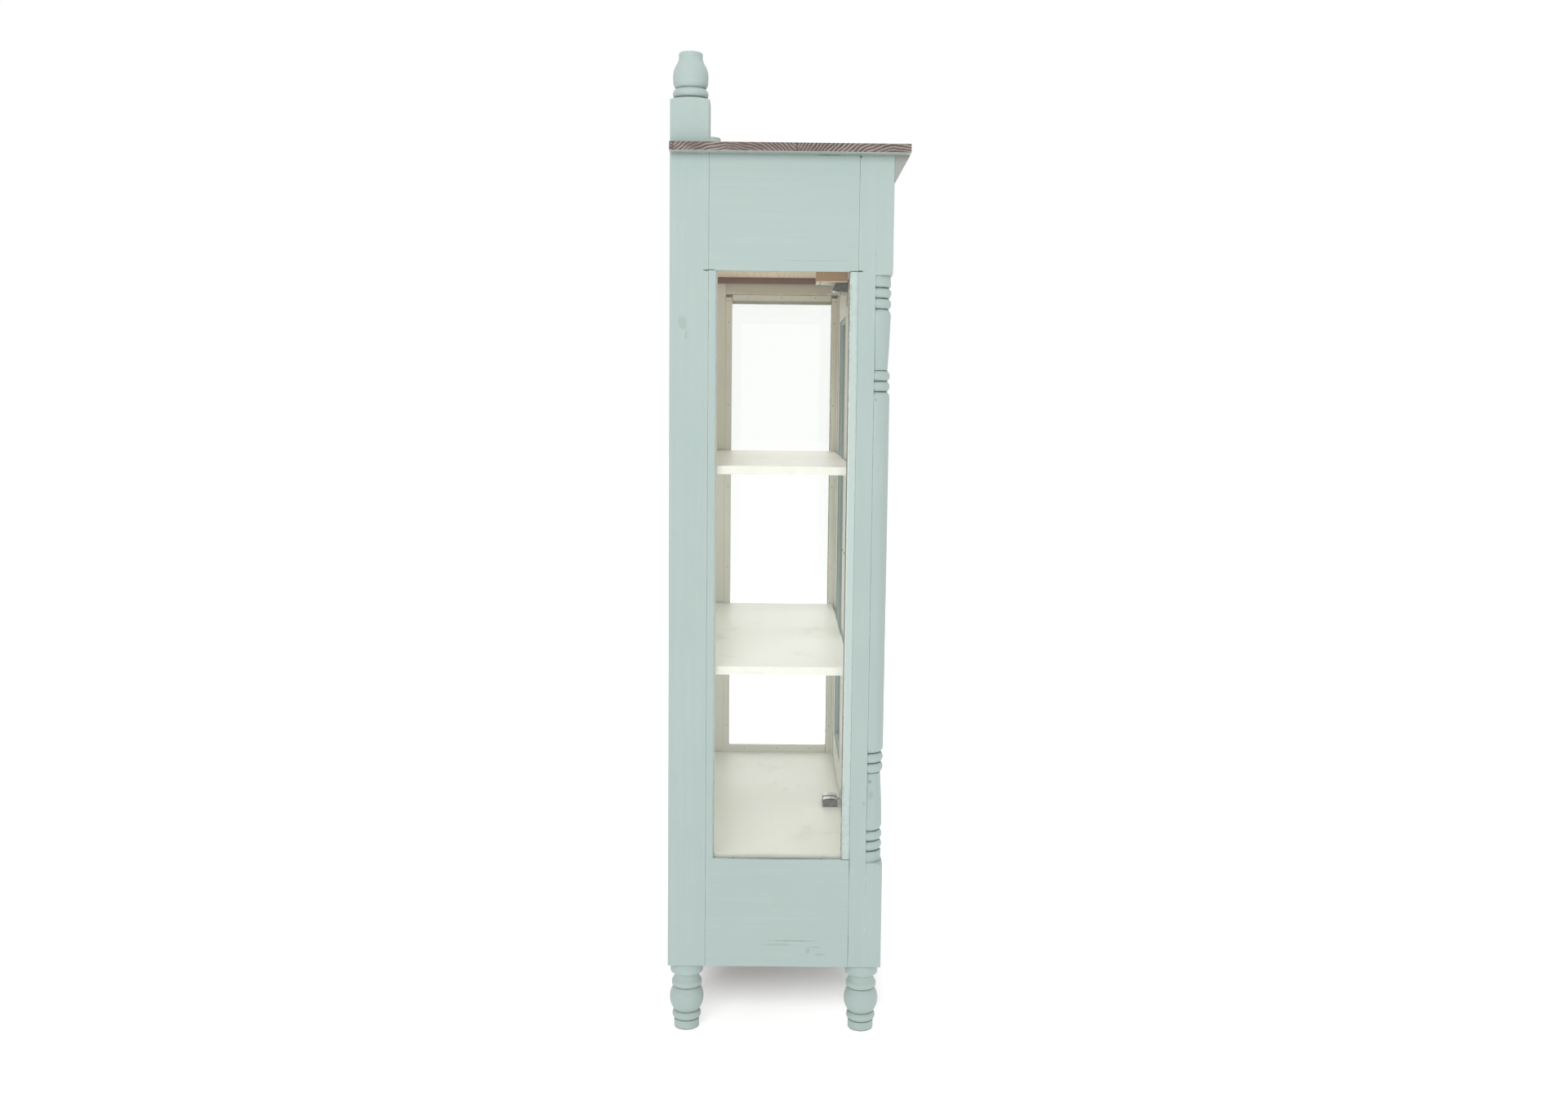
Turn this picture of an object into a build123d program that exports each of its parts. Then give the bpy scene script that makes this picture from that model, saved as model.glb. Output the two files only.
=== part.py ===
# China cabinet: a glazed display case on four turned legs.
# Frame: millimetres, +Z up, front towards -Y, origin on the floor under the centre of the whole.
from build123d import *
import os

# ---- Driving dimensions -------------------------------------------------------------------
cabinet_width = 970.0  # across the two side frames
carcass_depth = 421.5  # from the back of the rear posts to the front of the split columns
leg_height = 138.0
base_height = 205.0  # from the underside of the body to the interior floor
interior_height = 1216.0  # from the interior floor to the ceiling
head_height = 152.0  # from the ceiling to the underside of the top board

top_thickness = 17.0
top_side_overhang = 24.0
top_front_overhang = 28.5

side_thickness = 25.0
rear_post_depth = 74.0
front_post_size = 65.5  # square; its front half is the split column
window_drop = 64.0  # from the ceiling down to the head of the side window
sill_lip = 14.0  # from the interior floor up to the sill of the side window
window_rabbet = 23.0  # hidden overlap of the top rail over the pane
strip_width = 15.0  # upright strips that hold the pane from outside
strip_thickness = 11.0
side_bead_width = 16.0  # beads that hold the pane from inside
head_bead_drop = 16.0  # height of the bead under the head
upright_bead_gap = 8.0  # from the head down to the tops of the upright beads
sill_bead_height = 19.0
glass_thickness = 3.0
pane_clearance = 2.0  # all round, between a pane and its rabbet

back_thickness = 8.0
back_setback = 4.0
board_thickness = 16.0  # floor, base and shelves
ceiling_thickness = 12.0
cleat_size = 14.0
upper_shelf_height = 783.0  # top of the shelf above the interior floor
lower_shelf_height = 391.0
shelf_front_clearance = 3.0  # between the shelf and the closed doors
shelf_side_clearance = 3.0
bearer_length = 32.0
bearer_depth = 12.0
bearer_height = 12.0

header_drop = 44.0  # from the ceiling down to the door header
floor_nosing = 4.0  # from the front of the columns back to the front of the floor board
nosing_radius = 4.8
apron_thickness = 22.0
apron_setback = 5.0  # behind the floor nosing
crown_projection = 27.5
crown_height = 49.0
crown_lip = 1.5  # thickness of the crown's upper and lower edges

door_thickness = 22.0
door_setback = 8.0  # door front behind the glue line of the posts
door_gap = 3.0  # at the hinges, at the head, at the sill and between the doors
door_stile_width = 70.0
door_rail_width = 75.0
door_rabbet = 8.0  # width of the step that the pane sits in
door_front_lip = 11.0  # wood in front of the pane
door_bead_thickness = 6.0
knob_height = 570.0  # above the sill of the doors
knob_inset = 36.0  # from the meeting edge

hinge_length = 70.0
hinge_leaf_thickness = 1.3
hinge_leaf_depth = 20.0
hinge_knuckle_radius = 3.5
hinge_pin_radius = 2.0
hinge_running_clearance = 0.08
hinge_end_clearance = 0.3
hinge_side_clearance = 0.3  # between the knuckles and the wood
hinge_inset = 110.0  # from the ends of the door to the nearer end of a hinge
pin_head_radius = 2.8
pin_head_height = 2.5

catch_block_height = 48.0
catch_block_depth = 67.0
catch_block_front_width = 125.0
catch_block_rear_width = 92.0
top_catch_width = 58.0
top_catch_height = 17.0
top_catch_depth = 34.0  # along its foot
top_catch_head_depth = 26.0  # under the block: its back slopes
top_catch_clearance = 1.0  # from the closed doors
floor_catch_width = 53.0
floor_catch_height = 16.0
floor_catch_depth = 33.0
floor_catch_offset = 5.0  # from the middle of the cabinet: it serves the left door
floor_catch_clearance = 8.0  # from the closed doors
floor_catch_throat_width = 7.0  # slot between its two jaws
floor_catch_throat_height = 10.0

column_radius = 32.5
column_groove_radius = 27.0
column_bead_height = 20.0
lower_block_height = 212.0  # square foot of the split column
upper_block_height = 222.0  # square head of the split column
shoulder_height = 8.0  # height of the rounded shoulders where square meets round
shoulder_bulge = 3.4
collar_radius = 30.9  # next to the square block
collar_end_radius = 31.8
collar_length = 18.0
collar_round = 4.0  # height of the round between the collar and the first groove
vase_radius = 32.2
vase_swell = 14.0  # height of the rounded thick end of a vase
vase_neck = 102.0  # height of its long thin end
vase_neck_radius = 27.6
column_end_round = 9.0

leg_inset = 36.0  # from the side and the back or front to the axis of a leg
finial_block_size = 73.0
finial_block_height = 85.0
finial_shoulder = 6.0  # height of the rounded shoulders of the block
gallery_thickness = 20.0
gallery_end_height = 58.0
gallery_arch = 46.0  # extra height at the middle
gallery_setback = 14.0

edge_radius = 1.2  # softened arris of the painted boards
seam_radius = 0.6
corner_reach = 0.72  # radius just outside the corners of a square block, as a share of its side

# ---- Levels and planes derived from them --------------------------------------------------
base_z = leg_height
floor_z = base_z + base_height
ceiling_z = floor_z + interior_height
top_z = ceiling_z + head_height
window_bottom_z = floor_z + sill_lip
window_top_z = ceiling_z - window_drop
header_z = ceiling_z - header_drop
door_bottom_z = floor_z + door_gap
door_height = header_z - door_gap - door_bottom_z
turned_bottom_z = base_z + lower_block_height
turned_top_z = top_z - upper_block_height

total_depth = carcass_depth + top_front_overhang
back_y = total_depth / 2
column_front_y = back_y - carcass_depth
glue_y = column_front_y + front_post_size / 2
post_back_y = column_front_y + front_post_size
rear_post_front_y = back_y - rear_post_depth
back_panel_y = back_y - back_setback - back_thickness
door_front_y = glue_y + door_setback
door_back_y = door_front_y + door_thickness
shelf_front_y = max(door_back_y, post_back_y) + shelf_front_clearance
floor_front_y = column_front_y + floor_nosing

half_width = cabinet_width / 2
inner_x = half_width - side_thickness
post_inner_x = half_width - front_post_size
post_x = half_width - front_post_size / 2

sides = (("left", -1), ("right", 1))
os.makedirs("parts", exist_ok=True)


def save(builder, label):
    """Label a finished piece and write it to its own file."""
    builder.part.label = label
    export_step(builder.part, f"parts/{label}.step")


def upright_at(foot):
    """Plane for the section of an upright turning that stands on this point."""
    return Plane(foot, x_dir=(1, 0, 0), z_dir=(0, -1, 0))


def box_between(x_range, y_range, z_range):
    """Add a box to the active part, given its two limits along each axis."""
    limits = (x_range, y_range, z_range)
    with Locations(tuple(sum(pair) / 2 for pair in limits)):
        Box(*(abs(pair[1] - pair[0]) for pair in limits))


def turned_section(plane, start_radius, steps):
    """Half section of a turning along the plane's own Y axis, its radius along X.

    Each step is (rise, end radius, bulge): a straight line, or an arc that swells outwards
    by its bulge and hollows inwards where the bulge is negative.
    """
    height = 0
    radius = start_radius
    with BuildSketch(plane) as section:
        with BuildLine():
            Line((0, 0), (radius, 0))
            for rise, end_radius, bulge in steps:
                start = (radius, height)
                end = (end_radius, height + rise)
                if bulge:
                    middle = ((radius + end_radius) / 2 + bulge, height + rise / 2)
                    ThreePointArc(start, middle, end)
                else:
                    Line(start, end)
                height = height + rise
                radius = end_radius
            Line((radius, height), (0, height))
            Line((0, height), (0, 0))
        make_face()
    return section.sketch


# ---- Top board, crown and gallery ---------------------------------------------------------
with BuildPart() as top_board:
    box_between(
        (-half_width - top_side_overhang, half_width + top_side_overhang),
        (-total_depth / 2, back_y),
        (top_z, top_z + top_thickness),
    )
    fillet(top_board.edges(), edge_radius)
save(top_board, "top_board")

# Flat sloping moulding across the whole front, under the overhang, sawn square at its ends.
with BuildPart() as crown_moulding:
    with BuildSketch(Plane.YZ.offset(-half_width)):
        with BuildLine():
            Polyline(
                (column_front_y, top_z),
                (column_front_y - crown_projection, top_z),
                (column_front_y - crown_projection, top_z - crown_lip),
                (column_front_y - crown_lip, top_z - crown_height),
                (column_front_y, top_z - crown_height),
                close=True,
            )
        make_face()
    extrude(amount=cabinet_width)
save(crown_moulding, "crown_moulding")

# Low arched board between the blocks of the two finials.
gallery_half_length = half_width - finial_block_size
gallery_z = top_z + top_thickness
with BuildPart() as gallery_board:
    with BuildSketch(Plane.XZ.offset(-back_y + gallery_setback)):
        with BuildLine():
            Line((-gallery_half_length, gallery_z), (gallery_half_length, gallery_z))
            Line(
                (gallery_half_length, gallery_z),
                (gallery_half_length, gallery_z + gallery_end_height),
            )
            ThreePointArc(
                (gallery_half_length, gallery_z + gallery_end_height),
                (0, gallery_z + gallery_end_height + gallery_arch),
                (-gallery_half_length, gallery_z + gallery_end_height),
            )
            Line(
                (-gallery_half_length, gallery_z + gallery_end_height),
                (-gallery_half_length, gallery_z),
            )
        make_face()
    extrude(amount=gallery_thickness)
    fillet(gallery_board.edges().group_by(Axis.Z)[-1], edge_radius)
save(gallery_board, "gallery_board")

# Finials: each is turned from one square block that stands on a rear corner of the top board.
block_corner = corner_reach * finial_block_size
finial_steps = (
    (finial_block_height - finial_shoulder, block_corner, 0.0),
    (finial_shoulder, 31.0, 4.5),  # rounded shoulders of the block
    (1.5, 29.6, 0.0),
    (18.0, 28.4, 4.6),  # ring
    (1.5, 28.4, 0.0),
    (13.3, 33.0, 1.6),  # round foot of the bulb
    (16.0, 32.6, 0.6),
    (15.5, 25.9, 1.0),
    (12.5, 22.4, -0.8),  # hollow neck
    (6.5, 22.2, 0.2),
    (2.0, 19.5, 0.5),
    (3.5, 0.5, 1.5),  # nearly flat top
)
finial_rise = sum(step[0] for step in finial_steps)
for side, sign in sides:
    finial_x = sign * (half_width - finial_block_size / 2)
    finial_y = back_y - finial_block_size / 2
    with BuildPart() as finial:
        box_between(
            (finial_x - finial_block_size / 2, finial_x + finial_block_size / 2),
            (finial_y - finial_block_size / 2, finial_y + finial_block_size / 2),
            (gallery_z, gallery_z + finial_rise),
        )
        fillet(finial.edges().filter_by(Axis.Z), edge_radius)
        revolve(
            turned_section(upright_at((finial_x, finial_y, gallery_z)), block_corner, finial_steps),
            axis=Axis((finial_x, finial_y, 0), (0, 0, 1)),
            mode=Mode.INTERSECT,
        )
    save(finial, f"{side}_finial")


# ---- Corner posts and split columns -------------------------------------------------------
for side, sign in sides:
    with BuildPart() as rear_post:
        box_between(
            (sign * inner_x, sign * half_width),
            (rear_post_front_y, back_y),
            (base_z, top_z),
        )
        fillet(rear_post.edges().filter_by(Axis.Z), edge_radius)
    save(rear_post, f"{side}_rear_post")

    with BuildPart() as front_post:
        box_between(
            (sign * post_inner_x, sign * half_width),
            (glue_y, post_back_y),
            (base_z, top_z),
        )
        fillet(front_post.edges().filter_by(Axis.Z).sort_by(Axis.Y)[-2:], edge_radius)
    save(front_post, f"{side}_front_post")

# One turning sawn down its length: square at both ends, with a long column between two
# vases and their pairs of beads. It is glued to the front of the plain post.
bead_swell = column_radius - column_groove_radius
bead = (column_bead_height, column_groove_radius, bead_swell)
column_corner = corner_reach * front_post_size
turned_end_height = (
    collar_length + collar_round + 4 * column_bead_height + vase_swell + vase_neck
    + column_end_round
)
column_straight = turned_top_z - turned_bottom_z - 2 * turned_end_height
lower_end = (
    (lower_block_height - shoulder_height, column_corner, 0.0),
    (shoulder_height, collar_radius, shoulder_bulge),
    (collar_length, collar_end_radius, 0.0),
    (collar_round, column_groove_radius, 1.0),
    bead,
    bead,
    (vase_swell, vase_radius, 1.8),
    (vase_neck, vase_neck_radius, 0.6),
    (0.0, column_groove_radius, 0.0),
    bead,
    bead,
    (column_end_round, column_radius, 1.4),
)
upper_end = (
    (column_end_round, column_groove_radius, 1.4),
    bead,
    bead,
    (0.0, vase_neck_radius, 0.0),
    (vase_neck, vase_radius, 0.6),
    (vase_swell, column_groove_radius, 1.8),
    bead,
    bead,
    (collar_round, collar_end_radius, 1.0),
    (collar_length, collar_radius, 0.0),
    (shoulder_height, column_corner, shoulder_bulge),
    (upper_block_height - shoulder_height, column_corner, 0.0),
)
column_steps = lower_end + ((column_straight, column_radius, 0.0),) + upper_end
for side, sign in sides:
    column_x = sign * post_x
    with BuildPart() as split_column:
        box_between(
            (column_x - front_post_size / 2, column_x + front_post_size / 2),
            (column_front_y, glue_y),
            (base_z, top_z),
        )
        front_arrises = split_column.edges().filter_by(Axis.Z).sort_by(Axis.Y)[:2]
        fillet(front_arrises, edge_radius)
        revolve(
            turned_section(upright_at((column_x, glue_y, base_z)), column_corner, column_steps),
            axis=Axis((column_x, glue_y, 0), (0, 0, 1)),
            mode=Mode.INTERSECT,
        )
    save(split_column, f"{side}_split_column")


# ---- Side frames: rails, pane, outer strips and inner beads -------------------------------
strip_back_x = half_width - strip_thickness
pane_inner_x = strip_back_x - glass_thickness
window_back_y = rear_post_front_y - strip_width
window_front_y = post_back_y + strip_width
rabbet_top_z = window_top_z + window_rabbet
bead_back_y = rear_post_front_y - side_bead_width
bead_front_y = post_back_y + side_bead_width
for side, sign in sides:
    # The outer half of each rail reaches further than its inner half, which leaves a step
    # for the pane.
    with BuildPart() as side_top_rail:
        box_between(
            (sign * strip_back_x, sign * half_width),
            (post_back_y, rear_post_front_y),
            (window_top_z, top_z),
        )
        box_between(
            (sign * inner_x, sign * strip_back_x),
            (post_back_y, rear_post_front_y),
            (rabbet_top_z, top_z),
        )
        outer_lip = side_top_rail.edges().filter_by(Axis.Y).group_by(Axis.Z)[0]
        fillet(outer_lip, seam_radius)
    save(side_top_rail, f"{side}_side_top_rail")

    with BuildPart() as side_bottom_rail:
        box_between(
            (sign * strip_back_x, sign * half_width),
            (post_back_y, rear_post_front_y),
            (base_z, window_bottom_z),
        )
        box_between(
            (sign * inner_x, sign * strip_back_x),
            (post_back_y, rear_post_front_y),
            (base_z, floor_z),
        )
        outer_lip = side_bottom_rail.edges().filter_by(Axis.Y).group_by(Axis.Z)[-1]
        fillet(outer_lip, seam_radius)
    save(side_bottom_rail, f"{side}_side_bottom_rail")

    # Two upright strips, each rounded on the edge that faces the pane.
    with BuildPart() as side_strips:
        for wood_y, open_y in (
            (rear_post_front_y, window_back_y),
            (post_back_y, window_front_y),
        ):
            box_between(
                (sign * strip_back_x, sign * half_width),
                (wood_y, open_y),
                (window_bottom_z, window_top_z),
            )
        arrises = side_strips.edges().filter_by(Axis.Z)
        outer_arrises = arrises.sort_by(Axis.X)[:4] if sign < 0 else arrises.sort_by(Axis.X)[-4:]
        fillet(outer_arrises.sort_by(Axis.Y)[1:3], strip_thickness / 3)
    save(side_strips, f"{side}_side_strips")

    with BuildPart() as side_glass:
        box_between(
            (sign * pane_inner_x, sign * strip_back_x),
            (post_back_y + pane_clearance, rear_post_front_y - pane_clearance),
            (floor_z + pane_clearance, rabbet_top_z - pane_clearance),
        )
    save(side_glass, f"{side}_side_glass")

    # Four square beads around the pane: the head and the sill beads fit between the uprights.
    with BuildPart() as side_beads:
        for wood_y, inward in ((rear_post_front_y, -1), (post_back_y, 1)):
            box_between(
                (sign * inner_x, sign * pane_inner_x),
                (wood_y, wood_y + inward * side_bead_width),
                (floor_z, rabbet_top_z - upright_bead_gap),
            )
        for bead_z in (
            (floor_z, floor_z + sill_bead_height),
            (rabbet_top_z - head_bead_drop, rabbet_top_z),
        ):
            box_between(
                (sign * inner_x, sign * pane_inner_x),
                (bead_front_y, bead_back_y),
                bead_z,
            )
    save(side_beads, f"{side}_side_beads")


# ---- Back, base, floor, ceiling and shelves ----------------------------------------------
board_count = 8
board_pitch = 2 * inner_x / board_count
groove_cutter = 2.1  # side of the square that cuts a V groove, turned on its corner
with BuildPart() as back_panel:
    box_between(
        (-inner_x, inner_x),
        (back_panel_y, back_panel_y + back_thickness),
        (base_z, top_z),
    )
    # Shallow V grooves mark the joints between the upright boards, on both faces.
    for face_y in (back_panel_y, back_panel_y + back_thickness):
        with BuildSketch(Plane.XY.offset(base_z)):
            with Locations((0, face_y)):
                with GridLocations(board_pitch, 0, board_count - 1, 1):
                    Rectangle(groove_cutter, groove_cutter, rotation=45)
        extrude(amount=top_z - base_z, mode=Mode.SUBTRACT)
save(back_panel, "back_panel")

apron_front_y = floor_front_y + apron_setback
apron_back_y = apron_front_y + apron_thickness
with BuildPart() as base_board:
    box_between(
        (-inner_x, inner_x),
        (post_back_y, back_panel_y),
        (base_z, base_z + board_thickness),
    )
    box_between(
        (-post_inner_x, post_inner_x),
        (apron_back_y, post_back_y),
        (base_z, base_z + board_thickness),
    )
save(base_board, "base_board")

# The floor runs under the doors to a rounded nosing, notched around the front posts.
with BuildPart() as floor_board:
    box_between(
        (-inner_x, inner_x),
        (post_back_y, back_panel_y),
        (floor_z - board_thickness, floor_z),
    )
    box_between(
        (-post_inner_x, post_inner_x),
        (floor_front_y, post_back_y),
        (floor_z - board_thickness, floor_z),
    )
    nosing = floor_board.edges().filter_by(Axis.X).group_by(Axis.Y)[0]
    fillet(nosing, nosing_radius)
save(floor_board, "floor_board")

with BuildPart() as front_bottom_rail:
    box_between(
        (-post_inner_x, post_inner_x),
        (apron_front_y, apron_back_y),
        (base_z, floor_z - board_thickness),
    )
    lower_arris = front_bottom_rail.edges().filter_by(Axis.X).group_by(Axis.Z)[0].sort_by(Axis.Y)[0]
    fillet(lower_arris, edge_radius)
save(front_bottom_rail, "front_bottom_rail")

with BuildPart() as ceiling_board:
    box_between(
        (-inner_x, inner_x),
        (post_back_y, back_panel_y),
        (ceiling_z, ceiling_z + ceiling_thickness),
    )
save(ceiling_board, "ceiling_board")

with BuildPart() as ceiling_cleats:
    for side, sign in sides:
        box_between(
            (sign * (inner_x - cleat_size), sign * inner_x),
            (post_back_y, back_panel_y),
            (ceiling_z - cleat_size, ceiling_z),
        )
save(ceiling_cleats, "ceiling_cleats")

shelf_half_width = inner_x - shelf_side_clearance
bearer_top = {}
for name, height in (("upper", upper_shelf_height), ("lower", lower_shelf_height)):
    shelf_top_z = floor_z + height
    bearer_top[name] = shelf_top_z - board_thickness
    with BuildPart() as shelf:
        box_between(
            (-shelf_half_width, shelf_half_width),
            (shelf_front_y, back_panel_y),
            (shelf_top_z - board_thickness, shelf_top_z),
        )
        front_arrises = shelf.edges().filter_by(Axis.X).group_by(Axis.Y)[0]
        fillet(front_arrises, edge_radius)
    save(shelf, f"{name}_shelf")

# Small blocks under the corners of both shelves: at the front behind the front posts, and at
# the back on the insides of the rear posts.
rear_bearer_y = (back_panel_y - bearer_length, back_panel_y)
with BuildPart() as shelf_bearers:
    for side, sign in sides:
        for block_top_z in bearer_top.values():
            box_between(
                (sign * (inner_x - bearer_length), sign * inner_x),
                (post_back_y, post_back_y + bearer_depth),
                (block_top_z - bearer_height, block_top_z),
            )
            box_between(
                (sign * (inner_x - bearer_depth), sign * inner_x),
                rear_bearer_y,
                (block_top_z - bearer_height, block_top_z),
            )
save(shelf_bearers, "shelf_bearers")


# ---- Head of the front ---------------------------------------------------------------------
with BuildPart() as door_header_rail:
    box_between(
        (-post_inner_x, post_inner_x),
        (glue_y, post_back_y),
        (header_z, top_z),
    )
    arrises = door_header_rail.edges().filter_by(Axis.X).group_by(Axis.Z)[0]
    fillet(arrises.sort_by(Axis.Y)[-1], edge_radius)
save(door_header_rail, "door_header_rail")

with BuildPart() as frieze_board:
    box_between(
        (-post_inner_x, post_inner_x),
        (column_front_y, glue_y),
        (header_z, top_z),
    )
    arrises = frieze_board.edges().filter_by(Axis.X).group_by(Axis.Z)[0]
    fillet(arrises.sort_by(Axis.Y)[0], edge_radius)
save(frieze_board, "frieze_board")


# ---- Catches ---------------------------------------------------------------------------------
catch_block_front_y = max(post_back_y, door_back_y + top_catch_clearance)
catch_block_back_y = catch_block_front_y + catch_block_depth
catch_block_z = ceiling_z - catch_block_height
with BuildPart() as catch_block:
    with BuildSketch(Plane.XY.offset(catch_block_z)):
        with BuildLine():
            Polyline(
                (-catch_block_front_width / 2, catch_block_front_y),
                (catch_block_front_width / 2, catch_block_front_y),
                (catch_block_rear_width / 2, catch_block_back_y),
                (-catch_block_rear_width / 2, catch_block_back_y),
                close=True,
            )
        make_face()
    extrude(amount=catch_block_height)
save(catch_block, "catch_block")

top_catch_front_y = door_back_y + top_catch_clearance
with BuildPart() as top_catch:
    with BuildSketch(Plane.YZ.offset(-top_catch_width / 2)):
        with BuildLine():
            Polyline(
                (top_catch_front_y, catch_block_z),
                (top_catch_front_y, catch_block_z - top_catch_height),
                (top_catch_front_y + top_catch_depth, catch_block_z - top_catch_height),
                (top_catch_front_y + top_catch_head_depth, catch_block_z),
                close=True,
            )
        make_face()
    extrude(amount=top_catch_width)
save(top_catch, "top_catch")

# Two jaws on one foot, beside the middle line, for the left door.
floor_catch_x = (-floor_catch_offset - floor_catch_width, -floor_catch_offset)
floor_catch_y = (
    door_back_y + floor_catch_clearance,
    door_back_y + floor_catch_clearance + floor_catch_depth,
)
throat_middle_x = sum(floor_catch_x) / 2
with BuildPart() as floor_catch:
    box_between(floor_catch_x, floor_catch_y, (floor_z, floor_z + floor_catch_height))
    fillet(floor_catch.edges().group_by(Axis.Z)[-1], edge_radius)
    with Locations(
        (
            throat_middle_x,
            sum(floor_catch_y) / 2,
            floor_z + floor_catch_height - floor_catch_throat_height / 2,
        )
    ):
        Box(
            floor_catch_throat_width,
            floor_catch_depth,
            floor_catch_throat_height,
            mode=Mode.SUBTRACT,
        )
save(floor_catch, "floor_catch")


# ---- Legs --------------------------------------------------------------------------------------
leg_foot_radius = 23.0
leg_lower_steps = (
    (2.5, 25.0, 0.6),  # rounded edge of the foot
    (15.5, 25.2, 0.0),
    (1.2, 23.6, 0.0),
    (16.3, 25.0, 4.4),  # ring
    (1.5, 25.0, 0.0),
    (48.0, 26.8, 8.0),  # bulb
    (1.5, 26.8, 0.0),
    (2.5, 29.6, 0.6),
    (8.0, 29.6, 0.3),  # shoulder of the neck
)
leg_upper_steps = (
    (2.0, 24.4, 0.0),
    (6.0, 31.0, -1.8),  # hollow under the flange
    (3.0, 32.6, 0.6),
    (19.5, 32.6, 0.0),
)
leg_neck_height = leg_height - sum(step[0] for step in leg_lower_steps + leg_upper_steps)
leg_steps = leg_lower_steps + ((leg_neck_height, 24.4, -0.5),) + leg_upper_steps
for side, sign in sides:
    for end, leg_y in (
        ("front", column_front_y + leg_inset),
        ("rear", back_y - leg_inset),
    ):
        leg_x = sign * (half_width - leg_inset)
        with BuildPart() as leg:
            revolve(
                turned_section(upright_at((leg_x, leg_y, 0)), leg_foot_radius, leg_steps),
                axis=Axis((leg_x, leg_y, 0), (0, 0, 1)),
            )
        save(leg, f"{end}_{side}_leg")


# ---- Doors -------------------------------------------------------------------------------------
door_top_z = door_bottom_z + door_height
pane_front_y = door_front_y + door_front_lip
pane_back_y = pane_front_y + glass_thickness
back_stile_width = door_stile_width - door_rabbet
back_rail_width = door_rail_width - door_rabbet
knob_z = door_bottom_z + knob_height
knob_rose_radius = 13.0
knob_steps = (
    (1.6, 14.0, 0.4),  # rose against the door
    (1.2, 7.0, 0.0),
    (8.0, 6.0, -1.0),
    (7.5, 14.0, 1.6),
    (5.5, 11.5, 1.0),
    (2.6, 0.4, 2.2),  # low dome
)
for side, sign in sides:
    hinge_edge_x = sign * (post_inner_x - door_gap)
    meeting_edge_x = sign * door_gap / 2
    stiles = (
        ("hinge_stile", hinge_edge_x, -sign),
        ("meeting_stile", meeting_edge_x, sign),
    )
    # Stiles and rails are stepped at the back for the pane: the front layer is the wider.
    for stile_name, edge_x, inward in stiles:
        with BuildPart() as stile:
            box_between(
                (edge_x, edge_x + inward * door_stile_width),
                (door_front_y, pane_front_y),
                (door_bottom_z, door_top_z),
            )
            box_between(
                (edge_x, edge_x + inward * back_stile_width),
                (pane_front_y, door_back_y),
                (door_bottom_z, door_top_z),
            )
            fillet(stile.edges().filter_by(Axis.Z).group_by(Axis.Y)[0], edge_radius)
        save(stile, f"{side}_door_{stile_name}")

    rails = (
        ("bottom_rail", door_bottom_z, 1),
        ("top_rail", door_top_z, -1),
    )
    for rail_name, edge_z, inward in rails:
        with BuildPart() as rail:
            box_between(
                (hinge_edge_x - sign * door_stile_width, meeting_edge_x + sign * door_stile_width),
                (door_front_y, pane_front_y),
                (edge_z, edge_z + inward * door_rail_width),
            )
            box_between(
                (hinge_edge_x - sign * back_stile_width, meeting_edge_x + sign * back_stile_width),
                (pane_front_y, door_back_y),
                (edge_z, edge_z + inward * back_rail_width),
            )
            fillet(rail.edges().filter_by(Axis.X).group_by(Axis.Y)[0], edge_radius)
        save(rail, f"{side}_door_{rail_name}")

    rabbet_x = (
        hinge_edge_x - sign * back_stile_width,
        meeting_edge_x + sign * back_stile_width,
    )
    rabbet_z = (door_bottom_z + back_rail_width, door_top_z - back_rail_width)
    with BuildPart() as door_glass:
        box_between(
            (rabbet_x[0] - sign * pane_clearance, rabbet_x[1] + sign * pane_clearance),
            (pane_front_y, pane_back_y),
            (rabbet_z[0] + pane_clearance, rabbet_z[1] - pane_clearance),
        )
    save(door_glass, f"{side}_door_glass")

    with BuildPart() as door_beads:
        for edge_z, inward in ((rabbet_z[0], 1), (rabbet_z[1], -1)):
            box_between(
                rabbet_x,
                (pane_back_y, pane_back_y + door_bead_thickness),
                (edge_z, edge_z + inward * door_rabbet),
            )
        for edge_x, inward in ((rabbet_x[0], -sign), (rabbet_x[1], sign)):
            box_between(
                (edge_x, edge_x + inward * door_rabbet),
                (pane_back_y, pane_back_y + door_bead_thickness),
                (rabbet_z[0] + door_rabbet, rabbet_z[1] - door_rabbet),
            )
    save(door_beads, f"{side}_door_beads")

    knob_seat = (meeting_edge_x + sign * knob_inset, door_front_y, knob_z)
    with BuildPart() as door_knob:
        revolve(
            turned_section(Plane(knob_seat, (1, 0, 0), (0, 0, -1)), knob_rose_radius, knob_steps),
            axis=Axis(knob_seat, (0, -1, 0)),
        )
    save(door_knob, f"{side}_door_knob")


# ---- Butt hinges -------------------------------------------------------------------------------
hinge_stand_off = hinge_knuckle_radius + hinge_side_clearance
pivot_y = door_front_y - hinge_stand_off
leaf_back_y = door_front_y + hinge_leaf_depth
knuckle_length = (hinge_length - 2 * hinge_end_clearance) / 3
knuckle_pitch = knuckle_length + hinge_end_clearance
hinge_bottoms = (
    door_bottom_z + hinge_inset,
    (door_bottom_z + door_top_z - hinge_length) / 2,
    door_top_z - hinge_inset - hinge_length,
)


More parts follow.
